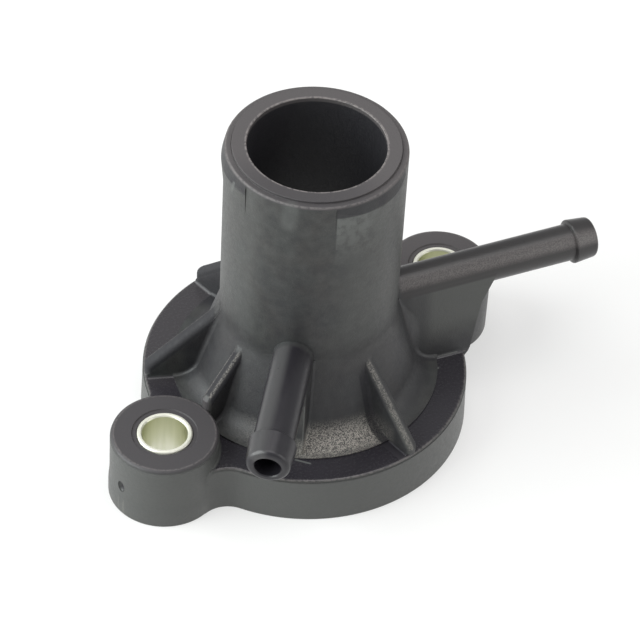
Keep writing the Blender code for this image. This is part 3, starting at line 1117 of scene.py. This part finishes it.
class Bench:
    """Adds nodes to one material or world."""

    def __init__(self, holder: bpy.types.Material | bpy.types.World, shader: str = "Principled BSDF") -> None:
        """Start the nodes.

        Args:
            holder: The material or world.
            shader: Name of the shader that it starts with.
        """
        holder.use_nodes = True
        self.holder, self.tree = holder, holder.node_tree
        self.shader = self.tree.nodes[shader]

    def add(self, kind: str, settings: dict | None = None, inputs: dict | None = None) -> bpy.types.Node:
        """Add a node.

        Args:
            kind: Type of the node.
            settings: Its settings, which are set first.
            inputs: Values or links of its sockets.

        Returns:
            The node.
        """
        node = self.tree.nodes.new(kind)
        for key, value in (settings or {}).items():
            setattr(node, key, value)
        self.feed(node, inputs or {})
        return node

    def feed(self, node: bpy.types.Node, inputs: dict) -> None:
        """Link or set sockets of a node.

        Args:
            node: The node.
            inputs: A Shade, an output socket or a plain value for each socket.
        """
        for key, value in inputs.items():
            source = value.socket if isinstance(value, Shade) else value
            if isinstance(source, bpy.types.NodeSocket):
                self.tree.links.new(source, node.inputs[key])
            else:
                node.inputs[key].default_value = source

    def dressed(self, inputs: dict) -> bpy.types.Material:
        """Feed the sockets of the shader and hand over the material."""
        self.feed(self.shader, inputs)
        return self.holder

    def ray(self, kind: str) -> Shade:
        """Whether light is traced for a ray of this kind."""
        return Shade(self, self.add("ShaderNodeLightPath"), f"Is {kind} Ray")

    def layered(self, colour: Colour, layers: Sequence[tuple[Shade, Colour]]) -> bpy.types.NodeSocket:
        """Lay colours over one another.

        Args:
            colour: The lowest colour.
            layers: Cover and colour of each layer, the lowest first.

        Returns:
            The mixed colour.
        """
        settings = {"data_type": "RGBA", "blend_type": "MIX"}
        for cover, over in layers:
            colour = self.add("ShaderNodeMix", settings, {0: cover, 6: colour, 7: over}).outputs[2]
        return colour

    def bump(self, height: Shade, distance: float, strength: float) -> bpy.types.NodeSocket:
        """Normals bent by a height field of some depth in metres, of which a share shows."""
        inputs = {"Height": height, "Distance": distance, "Strength": strength}
        return self.add("ShaderNodeBump", {}, inputs).outputs[0]


class Spot:
    """A spot on a piece as the nodes see it, in millimetres from an upright axis."""

    def __init__(self, bench: Bench, centre_x: float) -> None:
        """Measure the spot.

        Args:
            bench: The bench that adds the nodes.
            centre_x: Place of the axis along X.
        """
        source = bench.add("ShaderNodeTexCoord").outputs["Object"]
        inputs = {"Vector": source, "Location": (-centre_x / MM, 0.0, 0.0), "Scale": (1 / MM,) * 3}
        self.bench = bench
        self.vector = bench.add("ShaderNodeMapping", {"vector_type": "POINT"}, inputs).outputs[0]
        split = bench.add("ShaderNodeSeparateXYZ", inputs={0: self.vector})
        self.x, self.y, self.z = (Shade(bench, split, index) for index in range(3))
        self.radius = (self.x * self.x + self.y * self.y).root()

    def toward(self, angle: float) -> Shade:
        """Cosine of the angle between the spot and a direction in degrees."""
        return self.along(math.radians(angle)) / self.radius

    def along(self, turn: float) -> Shade:
        """How far the spot lies out along a direction in radians."""
        return self.x * math.cos(turn) + self.y * math.sin(turn)

    def beside(self, turn: float) -> Shade:
        """How far the spot lies to the left of a direction in radians."""
        return self.y * math.cos(turn) - self.x * math.sin(turn)

    def noise(self, scale: float, detail: float, stretch: Triple = (1.0, 1.0, 1.0)) -> Shade:
        """A field of noise about 0.5.

        Args:
            scale: Waves per millimetre.
            detail: Finer layers.
            stretch: Scale of each direction.

        Returns:
            The field.
        """
        inputs = {"Vector": self.vector, "Scale": stretch}
        spread = self.bench.add("ShaderNodeMapping", {"vector_type": "POINT"}, inputs).outputs[0]
        inputs = {"Vector": spread, "Scale": scale, "Detail": detail}
        return Shade(self.bench, self.bench.add("ShaderNodeTexNoise", {}, inputs))


class PipeSpot:
    """A spot as seen from the axis of a small pipe."""

    def __init__(self, spot: Spot, pipe: HosePipe, fade: Point = (17.0, 18.0)) -> None:
        """Measure the spot and the pipe's cover.

        Args:
            spot: The spot.
            pipe: The pipe.
            fade: Distances from the neck's axis between which the cover fades in.
        """
        self.along, self.beside = spot.along(pipe.angle), spot.beside(pipe.angle)
        self.above = spot.z - pipe.height / MM + self.along * math.tan(pipe.slope)
        self.distance = (self.beside * self.beside + self.above * self.above).root()
        barb = (pipe.reach - pipe.barb_length) / MM
        swell = (pipe.barb_radius - pipe.radius) / MM
        reach = self.along.ease(barb - 0.5, barb - 0.3) * swell + pipe.radius / MM
        self.cover = (self.distance - reach).ease(0.2, 0.06) * self.along.ease(*fade)

    def streak(self, upward: float, sideways: float, fade: Point) -> Shade:
        """Cover of a streak that faces one way and fades in between two cosines, for scuffs and painted highlights."""
        return ((self.above * upward + self.beside * sideways) / self.distance).ease(*fade) * self.cover


@dataclass(frozen=True)
class Mark:
    """A thin stroke between two places, each a radius, an angle in degrees and a height."""

    start: Triple
    end: Triple
    width: float
    strength: float

    def cover(self, spot: Spot) -> Shade:
        """Share of the surface that the stroke covers.

        Args:
            spot: The spot.

        Returns:
            The cover, from 0 to its strength.
        """
        start, end = (
            Vector((radius * math.cos(math.radians(angle)), radius * math.sin(math.radians(angle)), height))
            for radius, angle, height in (self.start, self.end)
        )
        run = end - start
        offsets = [axis - value for axis, value in zip((spot.x, spot.y, spot.z), start)]
        along = (offsets[0] * run.x + offsets[1] * run.y + offsets[2] * run.z) / run.length_squared
        along = along.highest(0.0).lowest(1.0)
        misses = [offset - along * part for offset, part in zip(offsets, run)]
        distance = (misses[0] * misses[0] + misses[1] * misses[1] + misses[2] * misses[2]).root()
        return distance.ease(self.width, self.width * 0.3) * self.strength


@dataclass(frozen=True)
class CrestBand:
    """A band along the crests of ribs of one kind, in millimetres, for painted highlights and painted shade."""

    kind: RibKind
    shift: float
    half: float
    strength: float
    depth: float = 0.35

    def cover(self, spot: Spot, ribs: RibSet) -> Shade:
        """Share of the surface that the band covers.

        Args:
            spot: The spot.
            ribs: All the ribs.

        Returns:
            The cover, from 0 to its strength.
        """
        line: CrestLine = getattr(ribs, self.kind.value)
        covers = []
        for turn in map(math.radians, line.angles):
            along = spot.along(turn)
            across = abs(spot.beside(turn) - self.shift)
            below = spot.z - (line.top / MM + (along - line.start_radius / MM) * line.slope())
            near = across.ease(self.half + 0.25, self.half - 0.15) * below.ease(-self.depth - 0.65, -self.depth)
            covers.append(near * along.ease(17.0, 18.0) * self.strength)
        return strongest(covers)


@dataclass(frozen=True)
class NylonFinish:
    """Black glass-filled nylon with a fine grain and scuffs, whose colour also holds painted highlights and painted
    shade.

    Its covers fade between pairs of lengths in millimetres, or of cosines of an angle round the neck.
    """

    base: Colour = rgb(0.030, 0.032, 0.031)
    warm: Colour = rgb(0.034, 0.032, 0.030)
    land: Colour = rgb(0.024, 0.022, 0.027)
    boss: Colour = rgb(0.050, 0.046, 0.049)
    # Rim wear, and painted sheen on the rear lug's top.
    wear_and_painted_sheen: Colour = rgb(0.078, 0.071, 0.072)
    # Painted light: walls lit from the floor, and the neck's sides.
    wall: Colour = rgb(0.066, 0.068, 0.065)
    # Painted highlights on rounded edges.
    edge: Colour = rgb(0.200, 0.180, 0.175)
    pipe: Colour = rgb(0.022, 0.019, 0.020)
    # Painted glints in the grain of the cone's foot and the rib crests.
    pale: Colour = rgb(0.38, 0.355, 0.32)
    rubbed_pipe: Colour = rgb(0.112, 0.101, 0.099)
    # Painted highlight on the nipple's left flank.
    painted_flank_highlight: Colour = rgb(0.062, 0.061, 0.061)
    grey: Colour = rgb(0.120, 0.125, 0.120)
    # Darker mottle, and painted shade.
    dark: Colour = rgb(0.012, 0.011, 0.015)
    pad_end: Point = (0.868, 0.876)
    # Painted highlights along the rib crests.
    crest_lines: tuple[CrestBand, ...] = (
        CrestBand(RibKind.TALL, -0.95, 0.15, 0.6),
        CrestBand(RibKind.TO_LUG, 0.5, 0.22, 0.4),
        CrestBand(RibKind.TO_LUG, -0.85, 0.1, 0.4),
        CrestBand(RibKind.PLAIN, -0.45, 0.42, 0.38),
    )
    # Painted shade on the rib crests and beside the plain rib.
    crest_shades: tuple[CrestBand, ...] = (
        CrestBand(RibKind.TALL, 0.0, 2.0, 0.75, 2.0),
        CrestBand(RibKind.TO_LUG, 0.0, 1.7, 0.85, 1.5),
        CrestBand(RibKind.PLAIN, -2.0, 0.8, 0.8, 16.0),
        CrestBand(RibKind.PLAIN, 0.65, 0.4, 0.4),
    )
    scratches_and_painted_glints: tuple[Mark, ...] = (
        Mark((16.85, -119.0, 62.2), (16.8, -118.6, 55.0), 0.35, 0.6),
        Mark((16.6, -148.5, 64.0), (16.6, -149.5, 60.5), 2.2, 0.3),
        Mark((17.0, 168.0, 63.2), (17.0, 165.0, 60.6), 0.5, 0.5),
        # Painted highlight down the outer edge of the nipple's web.
        Mark((24.5, -133.3, 11.5), (24.4, -133.3, 23.0), 0.28, 0.85),
        Mark((25.4, -136.0, 10.1), (26.2, -130.0, 10.1), 0.28, 0.8),
        Mark((25.5, -36.4, 10.2), (29.3, -34.3, 10.2), 0.22, 0.8),
        Mark((21.9, 144.4, 10.3), (29.2, 146.8, 10.2), 0.22, 0.6),
        Mark((25.3, -43.2, 10.1), (25.35, -43.0, 10.1), 0.3, 1.0),
    )

    def make(self, form: "Housing") -> bpy.types.Material:
        """Make the material.

        Args:
            form: The moulding, whose sizes place the covers.

        Returns:
            The material.
        """
        bench = Bench(bpy.data.materials.new("black_nylon_grained"))
        spot = Spot(bench, form.place.axis_x)
        x, z, radius = spot.x, spot.z, spot.radius
        top, bore, floor, lug_top = (
            length / MM for length in (form.neck.top, form.neck.bore, form.neck.land, form.lugs[0].height)
        )
        across = abs(x) - form.place.lug_reach / MM
        from_lug = (across * across + spot.y * spot.y).root()
        grain, coarse = spot.noise(5.2, 2.0), spot.noise(1.6, 2.0)
        mottle, cloud = spot.noise(0.5, 4.0), spot.noise(0.16, 3.0)

        rim = z.ease(top - 1.0, top - 0.75) * radius.ease(17.0, 16.6)
        inside = radius.ease(bore + 0.15, bore + 0.02)
        land = z.within(floor - 0.12, floor - 0.04, floor + 0.15, floor + 0.4) * from_lug.ease(10.3, 10.7)
        boss = z.ease(lug_top - 0.8, lug_top - 0.5) * from_lug.ease(10.1, 9.8)
        side, nipple = (PipeSpot(spot, pipe) for pipe in form.pipes)
        smooth = side.cover.highest(nipple.cover)
        off_lug = from_lug.ease(10.2, 10.6)
        # Painted highlights along the crests, and painted shade on and beside them.
        crests, dimmed = (
            strongest([band.cover(spot, form.ribs) for band in bands])
            for bands in (self.crest_lines, self.crest_shades)
        )
        dimmed = dimmed * z.ease(floor - 0.1, floor + 0.1) * off_lug
        # Painted highlight on the grainy foot of the cone and on the crests; the grain is also bumped and rougher.
        grain_and_painted_glint = (self.cove(spot) * (1.0 - dimmed)).highest(crests * off_lug)
        speckle = (grain + coarse * 0.3).ease(0.50, 0.80) * grain_and_painted_glint
        ramp = self.ramps(spot, top, form.bead)
        wear_and_painted_glints = self.wear_and_painted_glints(spot, mottle, grain)
        lines = self.edges(spot, from_lug, top, bore, floor) * coarse.ease(0.3, 0.6)
        web = side.along.ease(18.5, 20.5) * abs(side.beside).ease(8.6, 8.0)
        # Painted light on the flange and lug walls and on the side web.
        lit = z.ease(9.6, 9.2) * radius.ease(26.5, 27.5)
        lit = lit.highest(from_lug.ease(10.6, 10.3) * z.ease(14.0, 13.6)).highest(web * z.ease(12.0, 19.0))
        facing = spot.toward(-142.0)
        on_neck = radius.ease(17.6, 17.2)
        # Painted shade: the cone's foot, the front of the neck, the foot of the side web and of the rib at 90 degrees,
        # and the crest bands.
        shaded = strongest((
            z.ease(38.0, 20.0) * radius.ease(25.0, 22.0) * (1.0 - grain_and_painted_glint) * 0.56,
            z.ease(56.0, 38.0) * facing.ease(0.80, 1.0) * on_neck * 0.3,
            web * z.ease(17.0, 11.0) * 0.6,
            spot.toward(90.0).ease(0.97, 0.99) * z.ease(23.0, 16.0) * 0.75,
            dimmed,
        ))
        streak = side.streak(0.72, -0.69, (0.87, 0.995)) * (0.35 + grain.ease(0.35, 0.65) * 0.65)
        behind = spot.toward(110.0).ease(0.66, 0.86)
        colour = bench.layered(self.base, (
            (cloud.ease(0.35, 0.7) * 0.7, self.warm),
            (mottle.ease(0.45, 0.75) * 0.12 + grain.ease(0.5, 0.8) * 0.16, self.grey),
            (mottle.ease(0.5, 0.3) * 0.35 + ramp * 0.6, self.dark),
            # Painted light: walls lighter as if lit from the floor, and the neck lighter at its sides than at its
            # front.
            (lit, self.wall),
            (on_neck * z.ease(26.0, 32.0) * facing.ease(0.97, 0.80) * (1.0 - ramp) * 0.4, self.wall),
            (shaded, self.dark),
            (smooth * 0.8, self.pipe),
            (nipple.cover * 0.85, self.dark),
            (streak, self.rubbed_pipe),
            # Painted highlight on the nipple's left flank.
            (nipple.streak(0.84, -0.54, (0.80, 1.0)) * 0.7, self.painted_flank_highlight),
            (land, self.land),
            # Painted sheen on the land behind the neck, in the lug tops' tone.
            ((land * behind * 0.85).highest(boss * 0.95), self.boss),
            # Painted sheen: the rear lug's top lighter than the front one.
            (boss * x.ease(-5.0, 5.0) * 0.7, self.wear_and_painted_sheen),
            # Painted shade inside the bore.
            (inside * 0.8, self.dark),
            (rim * 0.95, self.wear_and_painted_sheen),
            # The rim darker towards the front, and painted shade in the gate mark.
            ((rim * facing.ease(0.3, 1.0) * 0.45).highest(self.pit(form).cover(spot)), self.dark),
            (wear_and_painted_glints, self.grey),
            # Painted highlights on the rounded edges, with some wear.
            (lines, self.edge),
            # Painted glints, speckled by the grain.
            (speckle.lowest(1.0), self.pale),
        ))
        rough = 0.46 + (coarse - 0.5) * 0.25 + wear_and_painted_glints * 0.15 + grain_and_painted_glint * 0.1 + (boss + rim) * 0.1
        rough = rough - land * z.ease(floor + 0.12, floor + 0.03) * 0.2 - smooth * 0.12 + dimmed * 0.4
        calm = 1.0 - (land * 0.85).highest(smooth * 0.7).highest(boss * 0.6)
        relief = (grain * (0.6 + grain_and_painted_glint * 1.5) + coarse * 0.5) * calm
        return bench.dressed({
            "Base Color": colour,
            "Roughness": rough.highest(0.2).lowest(0.9),
            "Normal": bench.bump(relief, 0.09 * MM, 0.7),
        })

    def cove(self, spot: Spot) -> Shade:
        """Cover of the painted highlight on the grainy foot of the cone, strongest between nipple and plain rib.

        Args:
            spot: The spot.

        Returns:
            The cover.
        """
        facing = spot.toward(-115.0)
        sector = (facing.ease(0.88, 0.975) * 0.70 + facing.ease(0.5, 0.88) * 0.26) * spot.x.ease(0.8, -0.2)
        return spot.z.within(10.1, 10.7, 11.3, 15.6) * spot.radius.within(18.0, 20.0, 25.6, 27.0) * sector

    def ramps(self, spot: Spot, top: float, bead: Bead) -> Shade:
        """Cover of the ramps above the beads, below the rim's height."""
        pads = strongest([spot.toward(math.degrees(middle)).ease(*self.pad_end) for middle in bead.middles()])
        return spot.z.within(top - 3.1, top - 2.8, top - 0.8, top - 0.6) * spot.radius.ease(16.3, 16.5) * pads

    def edges(self, spot: Spot, from_lug: Shade, top: float, bore: float, floor: float) -> Shade:
        """Cover of the thin light streaks along the edges: painted highlights on their rounds, with some wear.

        Args:
            spot: The spot.
            from_lug: Its distance from the nearer lug's axis.
            top: Height of the rim.
            bore: Radius of the neck's bore.
            floor: Height of the land.

        Returns:
            The cover.
        """
        z, radius = spot.z, spot.radius
        flange = z.within(floor - 0.34, floor - 0.22, floor - 0.06, floor + 0.02) * radius.ease(30.0, 30.2)
        return strongest((
            radius.within(bore - 0.05, bore + 0.02, bore + 0.25, bore + 0.5) * z.ease(top - 0.3, top - 0.1) * 0.8,
            radius.within(16.15, 16.3, 16.5, 16.6) * z.ease(top - 0.9, top - 0.6) * 0.32,
            from_lug.within(9.2, 9.35, 9.5, 9.65) * z.ease(14.0, 14.3) * 0.3,
            flange * from_lug.ease(10.3, 11.0) * 0.35,
        ))

    def pit(self, form: "Housing") -> Mark:
        """Painted shade in the bottom of the gate mark.

        Args:
            form: The moulding.

        Returns:
            An upright stroke, a little to one side of the pit's middle.
        """
        pit = Pit(form.lugs[0])
        x = (pit.depth * 0.6 - form.place.lug_reach - pit.lug.wall(pit.height)) / MM
        y, height = 0.35, pit.height / MM
        spoke = (math.hypot(x, y), math.degrees(math.atan2(y, x)))
        return Mark((*spoke, height - 0.5), (*spoke, height + 0.5), 0.95, 0.9)

    def wear_and_painted_glints(self, spot: Spot, mottle: Shade, grain: Shade) -> Shade:
        """Cover of the scuffs and scratch marks, and of a painted highlight along the edge of the nipple's web.

        Args:
            spot: The spot.
            mottle: Middle-sized noise.
            grain: Fine noise.

        Returns:
            The cover.
        """
        pad = spot.toward(-90.0).ease(*self.pad_end)
        near_end = spot.toward(-112.0).ease(0.93, 0.995) * 0.5 + 0.3
        below = spot.z.within(50.0, 61.0, 62.4, 62.7) * spot.radius.ease(15.5, 16.2)
        scuff = pad * near_end * below * (mottle + (grain - 0.5) * 0.4).ease(0.25, 0.65)
        return strongest([scuff] + [mark.cover(spot) for mark in self.scratches_and_painted_glints]).lowest(1.0)


@dataclass(frozen=True)
class ZincFinish:
    """Pale yellowish zinc on a turned steel sleeve."""

    tint: Colour = rgb(0.86, 0.85, 0.74)
    shade: Colour = rgb(0.655, 0.67, 0.505)
    drawn: Triple = (1.0, 1.0, 0.06)

    def make(self, sleeve: "Sleeve") -> bpy.types.Material:
        """Make the material.

        Args:
            sleeve: The sleeve, whose sizes place the covers.

        Returns:
            The material.
        """
        bench = Bench(bpy.data.materials.new(sleeve.name + "_zinc"))
        spot = Spot(bench, sleeve.centre_x)
        drawn, cloud = spot.noise(1.5, 3.0, self.drawn), spot.noise(0.5, 2.0)
        bore, top = sleeve.bore / MM, sleeve.top / MM
        inside = spot.radius.ease(bore + 0.08, bore + 0.02) * spot.z.ease(top, top - 0.6)
        return bench.dressed({
            "Base Color": bench.layered(self.tint, [(inside * (0.45 + drawn * 0.6), self.shade)]),
            "Metallic": 0.45 + inside * 0.55,
            "Roughness": 0.24 + drawn * 0.16 + (cloud - 0.5) * 0.1,
            "Normal": bench.bump(drawn, 0.02 * MM, 0.4),
        })


@dataclass
class Housing:
    """The one moulding, from the flange up."""

    place: Place
    collar_size: float = 0.8 * MM
    rib_to_lug: float = 0.5 * MM
    corner: float = 32.0
    even_weight: int = 60
    hair: float = MERGE * 2.5
    sliver: float = MERGE * 5

    def __post_init__(self) -> None:
        """Set out the forms that the moulding is made of."""
        reach = self.place.lug_reach
        self.neck = Neck(self.place.top)
        self.lugs = (Lug(-1, reach), Lug(1, reach, lean=-0.05 * MM, step=0.0))
        self.flange = Flange(self.lugs)
        self.bead = Bead(self.place.top, self.neck.top_radius)
        side_pipe = HosePipe(
            angle=math.radians(-19.8), height=24.25 * MM, slope=0.0, radius=3.57 * MM, bore=2.5 * MM,
            reach=58.8 * MM, barb_length=4.8 * MM, barb_radius=4.3 * MM, tip_radius=3.85 * MM, tip_round=0.75 * MM,
        )
        nipple = HosePipe(
            angle=math.radians(-141.95), height=29.55 * MM, slope=math.radians(5.2), radius=3.76 * MM, bore=2.45 * MM,
            reach=43.0 * MM, barb_length=5.7 * MM, barb_radius=4.45 * MM, tip_radius=4.0 * MM, tip_round=0.95 * MM,
        )
        self.pipes = (side_pipe, nipple)
        self.webs = (SideWeb(side_pipe, self.neck, self.flange), NippleWeb(nipple, self.neck, self.flange))
        self.ribs = RibSet(self.neck, self.flange.radius, reach - self.lugs[0].top_radius + self.rib_to_lug)

    def build(self) -> bpy.types.Object:
        """Model the moulding.

        Returns:
            The finished object, at the origin.
        """
        solids = [self.neck.body()] + [lug.body() for lug in self.lugs]
        for lug in self.lugs:
            collar = lug.collar(self.flange.thickness, self.collar_size)
            solids.append(collar.join([self.flange.cover()], Join.KEEP))
        skin = self.neck.skin(self.flange.radius - self.flange.edge_round)
        for rib in self.ribs.ribs():
            solids += rib.parts(skin)
        for web in self.webs:
            solids += web.parts()
        solids += [pipe.body(self.neck.wall_middle()) for pipe in self.pipes] + self.bead.pads()
        body = self.flange.plate().join(solids, Join.ADD)
        underside = Underside()
        cutters = [underside.cutter(self.neck)] + [lug.seat() for lug in self.lugs]
        cutters += [pipe.hollow(self.neck.bore / 2, underside.margin) for pipe in self.pipes]
        body.join(cutters + [Pit(self.lugs[0]).cutter()], Join.CUT)
        self.clean(body.object.data)
        body.dress("housing_moulding", NylonFinish().make(self), self.corner)
        weighted = body.object.modifiers.new("even_normals", "WEIGHTED_NORMAL")
        weighted.keep_sharp = True
        weighted.weight = self.even_weight
        return body.at(self.place.axis_x).object

    def clean(self, mesh: bpy.types.Mesh) -> None:
        """Merge points and slivers that the joins left.

        Args:
            mesh: The moulding's mesh.
        """
        bm = bmesh.new()
        bm.from_mesh(mesh)
        bmesh.ops.remove_doubles(bm, verts=bm.verts, dist=self.hair)
        bmesh.ops.dissolve_degenerate(bm, dist=self.sliver, edges=bm.edges)
        bmesh.ops.recalc_face_normals(bm, faces=bm.faces)
        bm.to_mesh(mesh)
        bm.free()


@dataclass
class Sleeve:
    """A turned metal sleeve in its lug."""

    name: str
    centre_x: float
    top: float
    bore: float = 4.23 * MM
    wall: float = 0.9 * MM
    chamfer: float = 0.22 * MM
    foot_chamfer: float = 0.44 * MM
    mouth_chamfer: float = 0.352 * MM
    edge_round: float = 0.08 * MM
    corner: float = 40.0

    def build(self) -> bpy.types.Object:
        """Model the sleeve.

        Returns:
            The finished object, at the origin.
        """
        outer, cut, soft = self.bore + self.wall, self.chamfer, self.edge_round
        profile = rounded([
            (self.bore, self.foot_chamfer), (self.bore + cut, 0.0, soft), (outer - cut, 0.0, soft), (outer, cut, soft),
            (outer, self.top - cut, soft), (outer - cut, self.top, soft), (self.bore + cut, self.top, soft),
            (self.bore, self.top - self.mouth_chamfer, soft), (self.bore, self.top / 2),
        ], Fineness.SMALL_ARC)
        solid = Solid.turned(profile, Fineness.SLEEVE, closed=True).at(self.centre_x)
        solid.dress(self.name, ZincFinish().make(self), self.corner)
        return solid.object


@dataclass(frozen=True)
class Lamp:
    """A square soft light, with its direction in degrees and its power in watts."""

    name: str
    azimuth: float
    elevation: float
    size: float
    power: float
    colour: Triple
    far: float = 1.0
    target_height: float = 0.03

    def build(self, axis_x: float) -> None:
        """Set up the light so that it faces the part.

        Args:
            axis_x: Place of the part along X.
        """
        data = bpy.data.lights.new(self.name, "AREA")
        data.shape, data.size, data.energy, data.color = "SQUARE", self.size, self.power, self.colour
        light = in_scene(self.name, data)
        way = direction(self.azimuth, self.elevation)
        light.location = Vector((axis_x, 0.0, self.target_height)) + way * self.far
        light.rotation_euler = way.to_track_quat("Z", "Y").to_euler()


def direction(azimuth: float, elevation: float) -> Vector:
    """Unit vector that points a number of degrees round from +X and up."""
    turn, lift = math.radians(azimuth), math.radians(elevation)
    return Vector((math.cos(turn) * math.cos(lift), math.sin(turn) * math.cos(lift), math.sin(lift)))


@dataclass
class Studio:
    """The pale floor, the soft lights and the camera."""

    axis_x: float
    floor_size: float = 6.0
    floor_colour: Colour = rgb(0.86, 0.86, 0.85)
    floor_glow: Colour = rgb(0.985, 0.985, 0.98)
    floor_seen: float = 0.52
    sky_colour: Colour = rgb(0.97, 0.98, 1.0)
    sky_light: float = 0.38
    sky_gloss: float = 0.1
    lamps: tuple[Lamp, ...] = (
        Lamp("left_window", 151.0, 27.0, 1.1, 18.5, (0.95, 1.0, 0.99)),
        Lamp("right_window", -60.0, 25.0, 0.8, 3.2, (1.0, 1.0, 0.97)),
        Lamp("ceiling", -45.0, 86.0, 0.8, 4.5, (1.0, 0.98, 0.98)),
    )
    aim: Triple = (2.86 * MM, -0.49 * MM, 20.0 * MM)
    distance: float = 640.2 * MM
    azimuth: float = -134.68
    elevation: float = 44.416
    roll: float = 3.417
    lens: float = 191.25
    sensor: float = 36.0
    near: float = 0.01

    def floor(self) -> bpy.types.Object:
        """The floor, which shows white and keeps the part's shadow.

        Returns:
            The floor.
        """
        bm = bmesh.new()
        bmesh.ops.create_grid(bm, x_segments=1, y_segments=1, size=self.floor_size / 2)
        mesh = bpy.data.meshes.new("floor")
        bm.to_mesh(mesh)
        bm.free()
        bench = Bench(bpy.data.materials.new("white_table"))
        mesh.materials.append(bench.dressed({
            "Base Color": self.floor_colour, "Roughness": 0.9, "Specular IOR Level": 0.1,
        }))
        glow = bench.add("ShaderNodeEmission", {}, {"Color": self.floor_glow, "Strength": 1.0})
        seen = (bench.ray("Camera") * self.floor_seen).highest(bench.ray("Glossy"))
        mix = bench.add("ShaderNodeMixShader", {}, {0: seen, 1: bench.shader.outputs[0], 2: glow.outputs[0]})
        bench.feed(bench.tree.nodes["Material Output"], {"Surface": mix.outputs[0]})
        return in_scene("floor", mesh)

    def world(self) -> None:
        """A soft pale surround, white where the camera or a gloss sees it."""
        world = bpy.data.worlds.new("soft_box")
        bpy.context.scene.world = world
        bench = Bench(world, "Background")
        soft = bench.ray("Glossy") * self.sky_gloss + self.sky_light
        seen = bench.ray("Camera").highest(bench.ray("Transmission")).highest(soft)
        bench.feed(bench.shader, {"Color": self.sky_colour, "Strength": seen})

    def camera(self) -> None:
        """The camera, at the place from which the part was seen."""
        data = bpy.data.cameras.new("camera")
        data.sensor_width, data.lens, data.clip_start = self.sensor, self.lens, self.near
        camera = in_scene("camera", data)
        back = direction(self.azimuth, self.elevation)
        level = back.to_track_quat("Z", "Y").to_matrix()
        turned = level @ Matrix.Rotation(math.radians(self.roll), 3, "Z")
        target = Vector(self.aim) + Vector((self.axis_x, 0.0, 0.0))
        camera.matrix_world = Matrix.Translation(target + back * self.distance) @ turned.to_4x4()
        bpy.context.scene.camera = camera

    def build(self) -> None:
        """Set up the floor, the lights and the camera."""
        self.floor()
        self.world()
        for lamp in self.lamps:
            lamp.build(self.axis_x)
        self.camera()
        bpy.context.scene.view_settings.view_transform = "Standard"


def main() -> None:
    """Build the pieces in order and report each one."""
    logging.basicConfig(level=logging.INFO, format="%(message)s")
    place = Place.from_frame()
    log.info("neck axis at x = %.3f mm, lugs %.2f mm from it", place.axis_x / MM, place.lug_reach / MM)
    housing = Housing(place).build()
    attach(housing, "root")
    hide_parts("housing")
    log.info("%s: %d faces", housing.name, len(housing.data.polygons))
    for name, side in (("front", -1), ("rear", 1)):
        sleeve = Sleeve("sleeve_" + name, place.axis_x + side * place.lug_reach, place.sleeve_top).build()
        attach(sleeve, "root")
        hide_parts("bolt_sleeve_" + name)
        log.info("%s: %d faces", sleeve.name, len(sleeve.data.polygons))
    Studio(place.axis_x).build()


if __name__ == "__main__":
    main()
